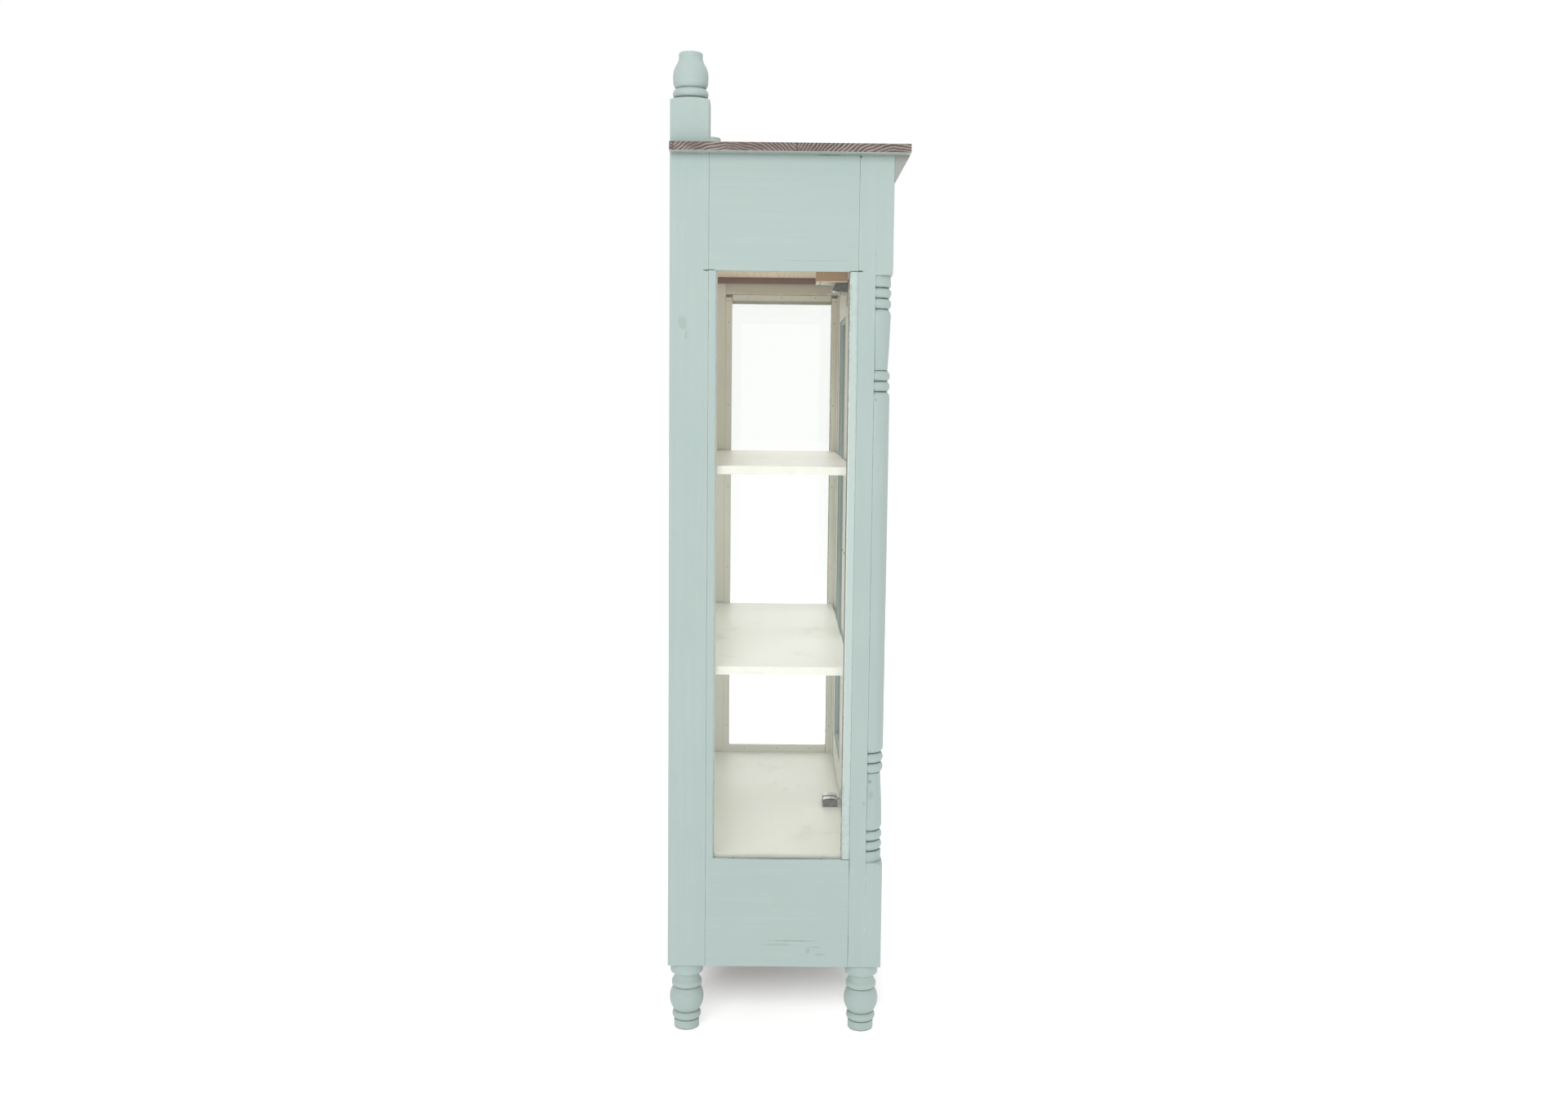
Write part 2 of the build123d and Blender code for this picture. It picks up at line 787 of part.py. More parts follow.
def hinge_leaf(pivot_x, face_x, inner_face_x, leaf_bottom_z, knuckles):
    """Add one leaf with its own knuckles, numbered from the bottom, to the active part."""
    box_between(
        (face_x, inner_face_x),
        (door_front_y, leaf_back_y),
        (leaf_bottom_z, leaf_bottom_z + hinge_length),
    )
    for knuckle in knuckles:
        knuckle_z = leaf_bottom_z + knuckle * knuckle_pitch
        box_between(
            (face_x, inner_face_x),
            (pivot_y, door_front_y),
            (knuckle_z, knuckle_z + knuckle_length),
        )
        with Locations((pivot_x, pivot_y, knuckle_z + knuckle_length / 2)):
            Cylinder(hinge_knuckle_radius, knuckle_length)
    with Locations((pivot_x, pivot_y, leaf_bottom_z + hinge_length / 2)):
        Cylinder(
            hinge_pin_radius + hinge_running_clearance,
            hinge_length,
            mode=Mode.SUBTRACT,
        )


for side, sign in sides:
    pivot_x = sign * (post_inner_x - hinge_stand_off)
    post_face_x = sign * post_inner_x
    door_edge_x = sign * (post_inner_x - door_gap)
    with BuildPart() as post_hinge_leaves:
        for leaf_bottom_z in hinge_bottoms:
            hinge_leaf(
                pivot_x,
                post_face_x,
                post_face_x - sign * hinge_leaf_thickness,
                leaf_bottom_z,
                (0, 2),
            )
    save(post_hinge_leaves, f"{side}_post_hinge_leaves")

    with BuildPart() as door_hinge_leaves:
        for leaf_bottom_z in hinge_bottoms:
            hinge_leaf(
                pivot_x,
                door_edge_x,
                door_edge_x + sign * hinge_leaf_thickness,
                leaf_bottom_z,
                (1,),
            )
    save(door_hinge_leaves, f"{side}_door_hinge_leaves")

    with BuildPart() as hinge_pins:
        for leaf_bottom_z in hinge_bottoms:
            with Locations((pivot_x, pivot_y, leaf_bottom_z + hinge_length / 2)):
                Cylinder(hinge_pin_radius, hinge_length)
            for head_z in (leaf_bottom_z - pin_head_height, leaf_bottom_z + hinge_length):
                with Locations((pivot_x, pivot_y, head_z + pin_head_height / 2)):
                    Cylinder(pin_head_radius, pin_head_height)
    save(hinge_pins, f"{side}_hinge_pins")
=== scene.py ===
# China cabinet: a painted, glazed display case with a limed top and brass hinges.
# Metres, +Z up, front towards -Y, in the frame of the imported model.
import math

import bmesh
import bpy
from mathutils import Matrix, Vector


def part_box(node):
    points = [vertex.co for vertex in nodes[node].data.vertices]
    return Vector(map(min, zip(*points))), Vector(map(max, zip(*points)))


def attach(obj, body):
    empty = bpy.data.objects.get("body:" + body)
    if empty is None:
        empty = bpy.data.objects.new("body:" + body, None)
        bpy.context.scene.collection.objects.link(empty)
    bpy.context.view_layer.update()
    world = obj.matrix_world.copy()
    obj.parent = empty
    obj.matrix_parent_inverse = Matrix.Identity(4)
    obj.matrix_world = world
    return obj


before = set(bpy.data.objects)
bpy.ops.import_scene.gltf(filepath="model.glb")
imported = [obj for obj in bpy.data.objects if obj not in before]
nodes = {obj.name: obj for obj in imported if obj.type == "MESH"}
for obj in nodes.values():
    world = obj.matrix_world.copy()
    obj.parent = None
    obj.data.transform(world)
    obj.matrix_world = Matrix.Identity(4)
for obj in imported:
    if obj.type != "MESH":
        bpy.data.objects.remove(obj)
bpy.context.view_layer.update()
scene = bpy.context.scene

# ---- Legs ------------------------------------------------------------
# Four short feet turned from softwood, dowelled up into the corners of the base. They carry
# the same brushed duck-egg paint as the case, laid on round the turning and rubbed at the rings.
sides = {"left": -1.0, "right": 1.0}  # and which way each faces along X


def shade(red, green, blue):
    """A linear colour from the 0 to 255 values of a paint chart."""
    values = []
    for value in (red, green, blue):
        share = value / 255.0
        values.append(share / 12.92 if share <= 0.04045 else ((share + 0.055) / 1.055) ** 2.4)
    return (*values, 1.0)


def feed(tree, socket, value):
    """Link a socket to another, or give it a value."""
    if isinstance(value, bpy.types.NodeSocket):
        tree.links.new(value, socket)
    else:
        socket.default_value = value


def node(tree, kind, inputs=None, **settings):
    """Add a node. Its inputs are given by name or number, as values or as sockets to link."""
    made = tree.nodes.new(kind)
    for name, value in settings.items():
        setattr(made, name, value)
    for key, value in (inputs or {}).items():
        feed(tree, made.inputs[key], value)
    return made


def maths(tree, operation, *values):
    """The result of a Math node on values or sockets."""
    return node(tree, "ShaderNodeMath", dict(enumerate(values)), operation=operation).outputs[0]


def vectors(tree, operation, *values):
    """The outputs of a Vector Math node on values or sockets."""
    inputs = dict(enumerate(values))
    return node(tree, "ShaderNodeVectorMath", inputs, operation=operation).outputs


def axes(tree, vector):
    """The X, Y and Z of a vector, each under its letter."""
    return node(tree, "ShaderNodeSeparateXYZ", {0: vector}).outputs


def ramp(tree, value, low, high):
    """0 below low, 1 above high and a smooth rise between. high below low turns it over."""
    if high < low:
        return maths(tree, "SUBTRACT", 1.0, ramp(tree, value, high, low))
    inputs = {"Value": value, "From Min": low, "From Max": high}
    return node(tree, "ShaderNodeMapRange", inputs, interpolation_type="SMOOTHSTEP").outputs[0]


def blend(tree, share, first, second):
    """Two colours mixed by a share."""
    return node(
        tree, "ShaderNodeMix", {"Factor": share, 6: first, 7: second}, data_type="RGBA"
    ).outputs[2]


def wash(tree, under, mask, strength, over):
    """One colour laid over another where a mask is, no thicker than strength."""
    return blend(tree, maths(tree, "MULTIPLY", mask, strength), under, over)


def cloud(tree, vector, scale, detail=3.0, roughness=0.55):
    """The value of a noise pattern, about 0.5."""
    inputs = {"Vector": vector, "Scale": scale, "Detail": detail, "Roughness": roughness}
    return node(tree, "ShaderNodeTexNoise", inputs).outputs[0]


def stretched(tree, vector, scale):
    """Coordinates scaled along each axis, so that a pattern is drawn out along the grain."""
    return node(tree, "ShaderNodeMapping", {"Vector": vector, "Scale": scale}).outputs[0]


def grain(tree, vector, scale, detail=3.0, roughness=0.55):
    """The value of a noise pattern that is drawn out along the grain."""
    return cloud(tree, stretched(tree, vector, scale), 1.0, detail, roughness)


def effect(name, inputs, outputs):
    """An empty group for an effect that several finishes share.

    inputs gives the start of each value, and None for each vector.
    """
    tree = bpy.data.node_groups.new(name, "ShaderNodeTree")
    for label, start in inputs.items():
        kind = "NodeSocketVector" if start is None else "NodeSocketFloat"
        socket = tree.interface.new_socket(label, in_out="INPUT", socket_type=kind)
        if start is not None:
            socket.default_value = start
    for label in outputs:
        tree.interface.new_socket(label, in_out="OUTPUT", socket_type="NodeSocketFloat")
    given = tree.nodes.new("NodeGroupInput").outputs
    result = tree.nodes.new("NodeGroupOutput").inputs
    return tree, given, result


def use(tree, group, inputs):
    """The outputs of a shared effect, put into a finish."""
    return node(tree, "ShaderNodeGroup", inputs, node_tree=group).outputs


# Brush marks: broad strokes and fine bristle lines, both drawn out along the strokes.
brush_marks, given, result = effect("brush_marks", {"Strokes": None}, ["Tone", "Height"])
broad = cloud(brush_marks, given["Strokes"], 1.0, 2.0)
bristles = cloud(brush_marks, given["Strokes"], 5.0, 3.0, 0.6)
softer = maths(brush_marks, "MULTIPLY", broad, 0.55)
feed(brush_marks, result["Tone"], maths(brush_marks, "MULTIPLY_ADD", bristles, 0.45, softer))
feed(brush_marks, result["Height"], maths(brush_marks, "MULTIPLY_ADD", bristles, 0.6, broad))

# Edge wear: arrises where hands and cloths have thinned the paint, broken up along their length.
edge_wear, given, result = effect(
    "edge_wear", {"Place": None, "Reach": 0.002, "Extent": 0.5}, ["Wear"]
)
rounded = node(edge_wear, "ShaderNodeBevel", {"Radius": given["Reach"]}, samples=4).outputs[0]
true_face = node(edge_wear, "ShaderNodeNewGeometry").outputs["Normal"]
turn = vectors(edge_wear, "DOT_PRODUCT", rounded, true_face)["Value"]
arris = ramp(edge_wear, turn, 0.995, 0.86)
patches = cloud(edge_wear, given["Place"], 38.0, 4.0, 0.65)
reached = maths(edge_wear, "ADD", patches, maths(edge_wear, "SUBTRACT", given["Extent"], 0.5))
worn = maths(edge_wear, "MULTIPLY", arris, ramp(edge_wear, reached, 0.44, 0.62))
feed(edge_wear, result["Wear"], worn)

# Corners: where two faces meet, dust and old wax stay behind, and painted shade darkens them too.
corner_dirt_and_shade, given, result = effect("corner_dirt_and_shade", {"Place": None, "Reach": 0.008}, ["Dirt"])
openness = node(
    corner_dirt_and_shade, "ShaderNodeAmbientOcclusion", {"Distance": given["Reach"]}, samples=6
).outputs["AO"]
closed = ramp(corner_dirt_and_shade, openness, 0.92, 0.35)
uneven = maths(corner_dirt_and_shade, "MULTIPLY_ADD", cloud(corner_dirt_and_shade, given["Place"], 55.0), 0.9, 0.35)
feed(corner_dirt_and_shade, result["Dirt"], maths(corner_dirt_and_shade, "MULTIPLY", closed, uneven))

# A mark at one place on the piece: soft at its rim and ragged inside.
mark, given, result = effect(
    "mark", {"Place": None, "Centre": None, "Half Size": None, "Grit": 90.0}, ["Mask"]
)
from_centre = vectors(mark, "SUBTRACT", given["Place"], given["Centre"])[0]
in_sizes = vectors(mark, "DIVIDE", from_centre, given["Half Size"])[0]
away = vectors(mark, "LENGTH", in_sizes)["Value"]
grit = cloud(mark, given["Place"], given["Grit"], 4.0, 0.7)
rim = maths(mark, "ADD", away, maths(mark, "MULTIPLY_ADD", grit, 1.2, -0.6))
feed(mark, result["Mask"], ramp(mark, rim, 1.0, 0.55))

duck_egg = shade(170, 186, 182)
chalky = shade(186, 199, 195)
undercoat = shade(200, 205, 194)
bare_pine = shade(146, 122, 98)
wax_and_shade = shade(104, 110, 100)
interior_cream = shade(246, 245, 235)

# The hollow of the case. It reaches a hair into the faces round it, so that they count as inside.
side_hair = 0.0004
door_hair = 0.0006
level_hair = 0.0002
pane_seat_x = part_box("right_side_strips")[0].x
door_inside_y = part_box("left_door_top_rail")[1].y
floor_top_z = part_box("floor_board")[1].z
ceiling_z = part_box("ceiling_board")[0].z
back_low, back_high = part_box("back_panel")
inside_low = (-pane_seat_x - side_hair, door_inside_y - door_hair, floor_top_z - level_hair)
inside_high = (pane_seat_x + side_hair, back_low.y + side_hair, ceiling_z + level_hair)


def inside_case(tree, place):
    """1 on faces within the hollow of the case, 0 outside it."""
    inside = 1.0
    for axis, low, high in zip(axes(tree, place), inside_low, inside_high):
        inside = maths(tree, "MULTIPLY", maths(tree, "GREATER_THAN", axis, low), inside)
        inside = maths(tree, "MULTIPLY", maths(tree, "LESS_THAN", axis, high), inside)
    return inside


def new_finish(name):
    """A material with its node tree, its Principled shader and the place on the piece in metres."""
    material = bpy.data.materials.new(name)
    material.use_nodes = True
    tree = material.node_tree
    place = node(tree, "ShaderNodeTexCoord").outputs["Object"]
    return material, tree, tree.nodes["Principled BSDF"], place


def lay_on(tree, shader, colour, gloss, height, depth, strength):
    """Give a finish its colour, its roughness and the shallow relief of a height."""
    feed(tree, shader.inputs["Base Color"], colour)
    feed(tree, shader.inputs["Roughness"], gloss)
    relief = {"Height": height, "Distance": depth, "Strength": strength}
    feed(tree, shader.inputs["Normal"], node(tree, "ShaderNodeBump", relief).outputs[0])


def brushed_paint(
    name, strokes, outside=duck_egg, within=interior_cream, wear=0.5, grime_and_shade=0.5, reach=0.008,
    marks=(),
):
    """Satin paint laid on with a brush. strokes scales the place along each axis.

    wear is how far the arrises have gone, and grime how much dust and painted shade darken corners
    narrower than reach. marks are (centre, half size, colour, strength).
    """
    material, tree, shader, place = new_finish(name)
    brushed = use(tree, brush_marks, {"Strokes": stretched(tree, place, strokes)})
    tone = brushed["Tone"]

    inside = inside_case(tree, place)
    colour = blend(tree, inside, outside, within)
    lighter = blend(tree, inside, chalky, shade(251, 251, 245))
    colour = wash(tree, colour, ramp(tree, tone, 0.42, 0.66), 0.17, lighter)
    darker = blend(tree, inside, shade(160, 179, 175), shade(222, 220, 205))
    drift = ramp(tree, cloud(tree, place, 5.5), 0.62, 0.34)
    colour = wash(tree, colour, drift, 0.20, darker)
    pores = grain(tree, place, tuple(7.0 * scale for scale in strokes), 1.0)
    colour = wash(tree, colour, ramp(tree, pores, 0.68, 0.78), 0.08, wax_and_shade)

    # Dust, and painted shade where corners are closed in, darken the narrow corners.
    dirt_and_shade = use(tree, corner_dirt_and_shade, {"Place": place, "Reach": reach})["Dirt"]
    colour = wash(tree, colour, dirt_and_shade, grime_and_shade, wax_and_shade)
    worn = use(tree, edge_wear, {"Place": place, "Extent": wear})["Wear"]
    colour = wash(tree, colour, worn, 0.75, undercoat)
    chips = ramp(tree, cloud(tree, place, 120.0, 4.0, 0.7), 0.58, 0.68)
    colour = wash(tree, colour, maths(tree, "MULTIPLY", worn, chips), 0.7, bare_pine)

    height = brushed["Height"]
    for centre, half_size, mark_colour, strength in marks:
        spot = use(tree, mark, {"Place": place, "Centre": centre, "Half Size": half_size})
        share = maths(tree, "MULTIPLY", spot["Mask"], strength)
        colour = blend(tree, share, colour, mark_colour)
        height = maths(tree, "SUBTRACT", height, share)

    dull = maths(tree, "MULTIPLY", maths(tree, "ADD", dirt_and_shade, worn), 0.18)
    gloss = maths(tree, "ADD", maths(tree, "MULTIPLY_ADD", tone, 0.16, 0.36), dull)
    shader.inputs["Specular IOR Level"].default_value = 0.42
    lay_on(tree, shader, colour, gloss, height, 0.00022, 0.55)
    return material


def finish(material, *names):
    """Give CAD pieces a finish."""
    for name in names:
        mesh = nodes[name].data
        mesh.materials.clear()
        mesh.materials.append(material)


def turned_groove(z, strength):
    """A darker line that runs round a turning in a groove at one height."""
    return ((0.0, 0.0, z), (2.0, 2.0, 0.0012), groove_dark, strength)


round_strokes = (16.0, 16.0, 150.0)
groove_dark = shade(92, 100, 92)
leg_grooves = [turned_groove(0.0186, 0.3), turned_groove(0.0362, 0.7), turned_groove(0.0858, 0.7)]
turned_paint = brushed_paint(
    "turned_paint", round_strokes, wear=0.46, grime_and_shade=0.9, reach=0.006, marks=leg_grooves
)
finish(turned_paint, *(f"{end}_{side}_leg" for end in ("front", "rear") for side in sides))

# ---- Corner posts ----------------------------------------------------
# Straight-grained softwood posts, a wide flat one at each rear corner and a square one at each
# front corner, painted by brush from top to bottom. Both show cream on their inner faces.
upright_strokes = (110.0, 110.0, 3.2)
side_face_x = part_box("left_rear_post")[0].x
strip_top_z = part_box("left_side_strips")[1].z
sill_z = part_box("left_side_bottom_rail")[1].z
case_bottom_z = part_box("left_rear_post")[0].z
case_top_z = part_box("left_rear_post")[1].z
front_joint_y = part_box("left_side_top_rail")[0].y
rear_joint_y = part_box("left_side_top_rail")[1].y
scuff = shade(156, 164, 155)
crack = shade(74, 74, 66)


def side_marks(*rows):
    """Marks on the left face of the case, from (y, z, half y, half z, colour, strength)."""
    marks = []
    for y, z, half_y, half_z, colour, strength in rows:
        marks.append(((side_face_x, y, z), (0.004, half_y, half_z), colour, strength))
    return marks


post_marks = side_marks(
    (0.2005, 1.397, 0.011, 0.016, scuff, 0.5),
    (0.193, 1.375, 0.004, 0.010, scuff, 0.5),
    (rear_joint_y + 0.004, strip_top_z, 0.008, 0.0018, crack, 1.0),
    (front_joint_y - 0.003, strip_top_z + 0.001, 0.009, 0.0018, crack, 1.0),
    (front_joint_y - 0.001, case_top_z - 0.004, 0.003, 0.003, crack, 0.95),
    (front_joint_y, case_top_z - 0.03, 0.0014, 0.022, crack, 0.45),
    (front_joint_y, sill_z - 0.008, 0.0016, 0.034, crack, 0.75),
    (front_joint_y, case_bottom_z + 0.042, 0.0014, 0.044, crack, 0.7),
    (-0.158, 0.470, 0.004, 0.005, scuff, 0.5),
)
post_paint = brushed_paint("post_paint", upright_strokes, wear=0.42, marks=post_marks)
finish(post_paint, "left_rear_post", "left_front_post", "right_rear_post", "right_front_post")

# ---- Split columns ---------------------------------------------------
# One turning sawn down its middle gives the two half columns glued to the front posts. Their
# beads catch the light, and the grooves between the beads are painted darker.
turned_low_z = 0.372
turned_high_z = 1.467
bead_rise = 0.020
vase_rise = 0.116
groove_heights = []
for end_z, rise in ((turned_low_z, 1), (turned_high_z, -1)):
    for beads_up in (0, 1, 2):
        groove_heights.append(end_z + rise * beads_up * bead_rise)
        groove_heights.append(end_z + rise * (vase_rise + (beads_up + 2) * bead_rise))
column_groove = shade(88, 94, 86)
column_marks = []
for bead_z in groove_heights:
    column_marks.append(
        ((side_face_x + 0.032, -0.178, bead_z), (0.06, 0.04, 0.0015), column_groove, 0.8)
    )
column_marks += [
    ((side_face_x + 0.002, -0.190, 0.437), (0.012, 0.007, 0.006), crack, 0.45),
    ((side_face_x + 0.003, -0.172, 0.485), (0.012, 0.006, 0.010), scuff, 0.6),
    ((side_face_x + 0.003, -0.170, 0.512), (0.012, 0.005, 0.005), crack, 0.35),
    ((side_face_x + 0.002, -0.168, 1.256), (0.012, 0.003, 0.004), crack, 0.3),
]
glue_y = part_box("left_front_post")[0].y
turned_middle_z = (turned_low_z + turned_high_z) / 2
column_marks.append(((side_face_x, glue_y, turned_middle_z), (0.006, 0.0011, 0.80), crack, 0.55))
column_paint = brushed_paint(
    "column_paint", upright_strokes, wear=0.45, grime_and_shade=0.7, marks=column_marks
)
finish(column_paint, "left_split_column", "right_split_column")

# ---- Side rails and strips -------------------------------------------
# The rails of the side frames are brushed from front to back. The top one is jointed from two
# boards, and the bottom one shows a knot through the paint. Thin upright strips hold the pane.
level_strokes = (110.0, 3.2, 110.0)
glue_line = shade(158, 176, 171)
knot_ring = shade(146, 156, 147)
rail_marks = side_marks(
    (-0.045, strip_top_z + 0.0195, 0.088, 0.0013, glue_line, 0.9),
    (rear_joint_y - 0.002, strip_top_z + 0.0006, 0.012, 0.0016, crack, 1.0),
    (front_joint_y + 0.004, strip_top_z + 0.0006, 0.014, 0.0016, crack, 1.0),
    (-0.018, 0.1905, 0.062, 0.0014, shade(138, 144, 130), 0.6),
    (0.008, 0.183, 0.036, 0.003, scuff, 0.5),
    (-0.052, 0.171, 0.005, 0.008, knot_ring, 0.45),
    (-0.066, 0.178, 0.014, 0.003, scuff, 0.55),
    (-0.075, 0.163, 0.012, 0.003, knot_ring, 0.45),
    (0.0, sill_z, 0.135, 0.0012, crack, 0.75),
    (front_joint_y + 0.008, sill_z - 0.0005, 0.012, 0.0016, crack, 0.9),
    (-0.072, case_top_z - 0.0015, 0.032, 0.0012, crack, 0.6),
)
rail_inner_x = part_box("right_side_top_rail")[0].x
under_ceiling_z = ceiling_z - 0.021
unlit_cream = shade(168, 158, 134)
# Painted shade: the inner face of each top rail is darker just under the ceiling.
for outward in sides.values():
    rail_face = (outward * rail_inner_x, 0.0, under_ceiling_z)
    rail_marks.append((rail_face, (0.004, 0.30, 0.028), unlit_cream, 0.4))
rail_paint = brushed_paint("rail_paint", level_strokes, wear=0.40, marks=rail_marks)
strip_low, strip_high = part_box("left_side_strips")
strip_width = 0.015
strip_middle_z = (strip_low.z + strip_high.z) / 2
strip_marks = []
for outward in sides.values():
    face_x = -outward * side_face_x
    # A lighter band of paint down each strip's face, and painted highlights along its two inner
    # arrises.
    for place_y, half_width, tone_and_highlight, strength in (
        (strip_low.y + 0.5 * strip_width, 0.010, shade(190, 204, 199), 0.7),
        (strip_low.y + strip_width, 0.0022, shade(226, 232, 226), 0.85),
        (strip_high.y - strip_width, 0.0018, shade(206, 216, 210), 0.7),
    ):
        line = ((face_x, place_y, strip_middle_z), (0.008, half_width, 0.85), tone_and_highlight, strength)
        strip_marks.append(line)
strip_paint = brushed_paint("strip_paint", upright_strokes, wear=0.5, marks=strip_marks)
for side in sides:
    finish(rail_paint, f"{side}_side_top_rail", f"{side}_side_bottom_rail")
    finish(strip_paint, f"{side}_side_strips")

# ---- Panes -----------------------------------------------------------
# Plain 3 mm float glass, faintly green through its cut edges. The panes sit loose in their
# rabbets and are held by pinned beads.


def window_glass(name, tint, edge_on_tint_and_shade):
    """Clear glass, greener edge on, whose shadow is almost as bright as the light on it."""
    material, tree, shader, place = new_finish(name)
    facing = node(tree, "ShaderNodeLayerWeight", {"Blend": 0.5}).outputs["Facing"]
    colour = blend(tree, ramp(tree, facing, 0.82, 0.95), tint, edge_on_tint_and_shade)
    shader.inputs["Transmission Weight"].default_value = 1.0
    shader.inputs["IOR"].default_value = 1.46
    lay_on(tree, shader, colour, 0.0, cloud(tree, place, 3.5, 1.0), 0.0006, 0.15)
    passing = node(tree, "ShaderNodeBsdfTransparent", {"Color": (0.985, 0.99, 0.985, 1.0)})
    path = node(tree, "ShaderNodeLightPath").outputs
    unseen = maths(tree, "MAXIMUM", path["Is Shadow Ray"], path["Is Diffuse Ray"])
    ways = {0: unseen, 1: shader.outputs[0], 2: passing.outputs[0]}
    both_ways = node(tree, "ShaderNodeMixShader", ways).outputs[0]
    feed(tree, tree.nodes["Material Output"].inputs["Surface"], both_ways)
    return material


pane_glass = window_glass("pane_glass", (0.985, 0.995, 0.985, 1.0), (0.70, 0.84, 0.78, 1.0))
# The door glass is greyer than the side panes and far darker edge on: painted shade for the dim
# hollow seen through it.
door_glass = window_glass("door_glass", (0.94, 0.97, 0.955, 1.0), (0.36, 0.50, 0.46, 1.0))
finish(pane_glass, "left_side_glass", "right_side_glass")
finish(door_glass, "left_door_glass", "right_door_glass")

# ---- Beads inside ----------------------------------------------------
# Square cream-painted beads pinned round the inside of each pane, mitred nowhere: the head and
# sill pieces butt between the uprights.
cream_strokes = (90.0, 90.0, 4.0)
bead_low, bead_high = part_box("right_side_beads")
bead_width = 0.016
bead_middle = (bead_low + bead_high) / 2
head_bead_z = bead_high.z - bead_width / 2
front_y = bead_low.y + bead_width
rear_y = bead_high.y - bead_width
bead_joint = shade(112, 104, 86)
# A painted shadow: dark down the inner edge of each front upright bead, where the front post keeps
# light off it.
bead_painted_shadow = shade(58, 52, 45)
bead_marks = []
for outward in sides.values():
    bead_x = outward * bead_middle.x
    bead_marks += [
        ((bead_x, front_y, bead_middle.z), (0.02, 0.0018, 0.9), bead_painted_shadow, 0.85),
        ((bead_x, rear_y, head_bead_z), (0.02, 0.0012, 0.012), bead_joint, 0.8),
        ((bead_x, bead_middle.y, bead_high.z), (0.02, 0.30, 0.0016), bead_joint, 0.8),
        ((bead_x, bead_middle.y, bead_high.z - bead_width), (0.02, 0.30, 0.0010), bead_joint, 0.5),
    ]
bead_paint = brushed_paint(
    "bead_paint", cream_strokes, outside=interior_cream, wear=0.4, grime_and_shade=0.25, reach=0.004,
    marks=bead_marks,
)
finish(bead_paint, "left_side_beads", "right_side_beads")

# ---- Floor and shelves -----------------------------------------------
# Cream-painted boards, duck-egg where they show in front of the doors. The shelves rest loose on
# small blocks, and years of crockery have left grey smudges and short scratches on their tops.


def shelf_paint(name, strokes, nosing):
    """Cream paint with the smudges and scratches of things set down and slid about.

    nosing is the colour of what lies in front of the closed doors.
    """
    material, tree, shader, place = new_finish(name)
    brushed = use(tree, brush_marks, {"Strokes": stretched(tree, place, strokes)})
    streaks = ramp(tree, brushed["Tone"], 0.40, 0.66)
    colour = wash(tree, shade(246, 246, 236), streaks, 0.5, shade(251, 251, 246))
    smudges = ramp(tree, grain(tree, place, (7.0, 11.0, 7.0), 5.0, 0.62), 0.55, 0.74)
    colour = wash(tree, colour, smudges, 0.42, shade(214, 211, 197))
    scratch_lines = ramp(tree, grain(tree, place, (30.0, 420.0, 30.0), 2.0), 0.66, 0.72)
    sparse = ramp(tree, cloud(tree, place, 16.0, 2.0), 0.58, 0.68)
    scratches = maths(tree, "MULTIPLY", scratch_lines, sparse)
    colour = wash(tree, colour, scratches, 0.35, shade(150, 146, 132))
    dirt_and_shade = use(tree, corner_dirt_and_shade, {"Place": place, "Reach": 0.02})["Dirt"]
    colour = wash(tree, colour, dirt_and_shade, 0.3, shade(168, 160, 138))
    worn = use(tree, edge_wear, {"Place": place, "Extent": 0.5})["Wear"]
    colour = wash(tree, colour, worn, 0.6, shade(252, 252, 248))
    behind_doors = maths(tree, "GREATER_THAN", axes(tree, place)["Y"], inside_low[1])
    colour = blend(tree, behind_doors, nosing, colour)
    gloss = maths(tree, "MULTIPLY_ADD", smudges, 0.15, 0.36)
    height = maths(tree, "SUBTRACT", brushed["Height"], maths(tree, "MULTIPLY", scratches, 0.6))
    lay_on(tree, shader, colour, gloss, height, 0.0002, 0.5)
    return material


board_paint = shelf_paint("board_paint", (3.0, 90.0, 90.0), duck_egg)
finish(board_paint, "floor_board", "upper_shelf", "lower_shelf")
bearer_paint = brushed_paint("bearer_paint", (90.0, 90.0, 90.0), outside=interior_cream)
finish(bearer_paint, "shelf_bearers")

# ---- Raw boards: base, ceiling, cleats and catch block ---------------
# Softwood left bare: the greyed bottom board, the ceiling with its two cleats, and the tapered
# block that carries the upper catch, painted only on its underside.


def chance(tree, number):
    """A value from 0 to 1 that belongs to a whole number."""
    dice = node(tree, "ShaderNodeTexWhiteNoise", {"W": number}, noise_dimensions="1D")
    return dice.outputs["Value"]


# Growth rings: each board is sawn from its own place in the log, so its rings have their own
# centre. Lines run along the board on its faces and arch across its sawn end.
growth_rings, given, result = effect(
    "growth_rings",
    {"Along": None, "Board": 0.1, "Spacing": 0.004, "Heart Depth": 0.012},
    ["Late Wood", "Board Tone", "Joint"],
)
along = axes(growth_rings, given["Along"])
across = maths(growth_rings, "DIVIDE", along["Y"], given["Board"])
board_number = maths(growth_rings, "FLOOR", across)
board_tone = chance(growth_rings, board_number)
off_centre = maths(growth_rings, "SUBTRACT", board_tone, 0.5)
heart_across = maths(growth_rings, "MULTIPLY_ADD", off_centre, 0.9, 0.5)
in_board = maths(growth_rings, "SUBTRACT", maths(growth_rings, "FRACT", across), heart_across)
from_heart_y = maths(growth_rings, "MULTIPLY", in_board, given["Board"])
depth_chance = chance(growth_rings, maths(growth_rings, "ADD", board_number, 7.3))
heart_depth = maths(growth_rings, "MULTIPLY_ADD", depth_chance, 0.05, given["Heart Depth"])
from_heart_z = maths(growth_rings, "ADD", along["Z"], heart_depth)
square_y = maths(growth_rings, "MULTIPLY", from_heart_y, from_heart_y)
square_z = maths(growth_rings, "MULTIPLY", from_heart_z, from_heart_z)
radius = maths(growth_rings, "SQRT", maths(growth_rings, "ADD", square_y, square_z))
waves = grain(growth_rings, given["Along"], (2.2, 24.0, 24.0), 3.0)
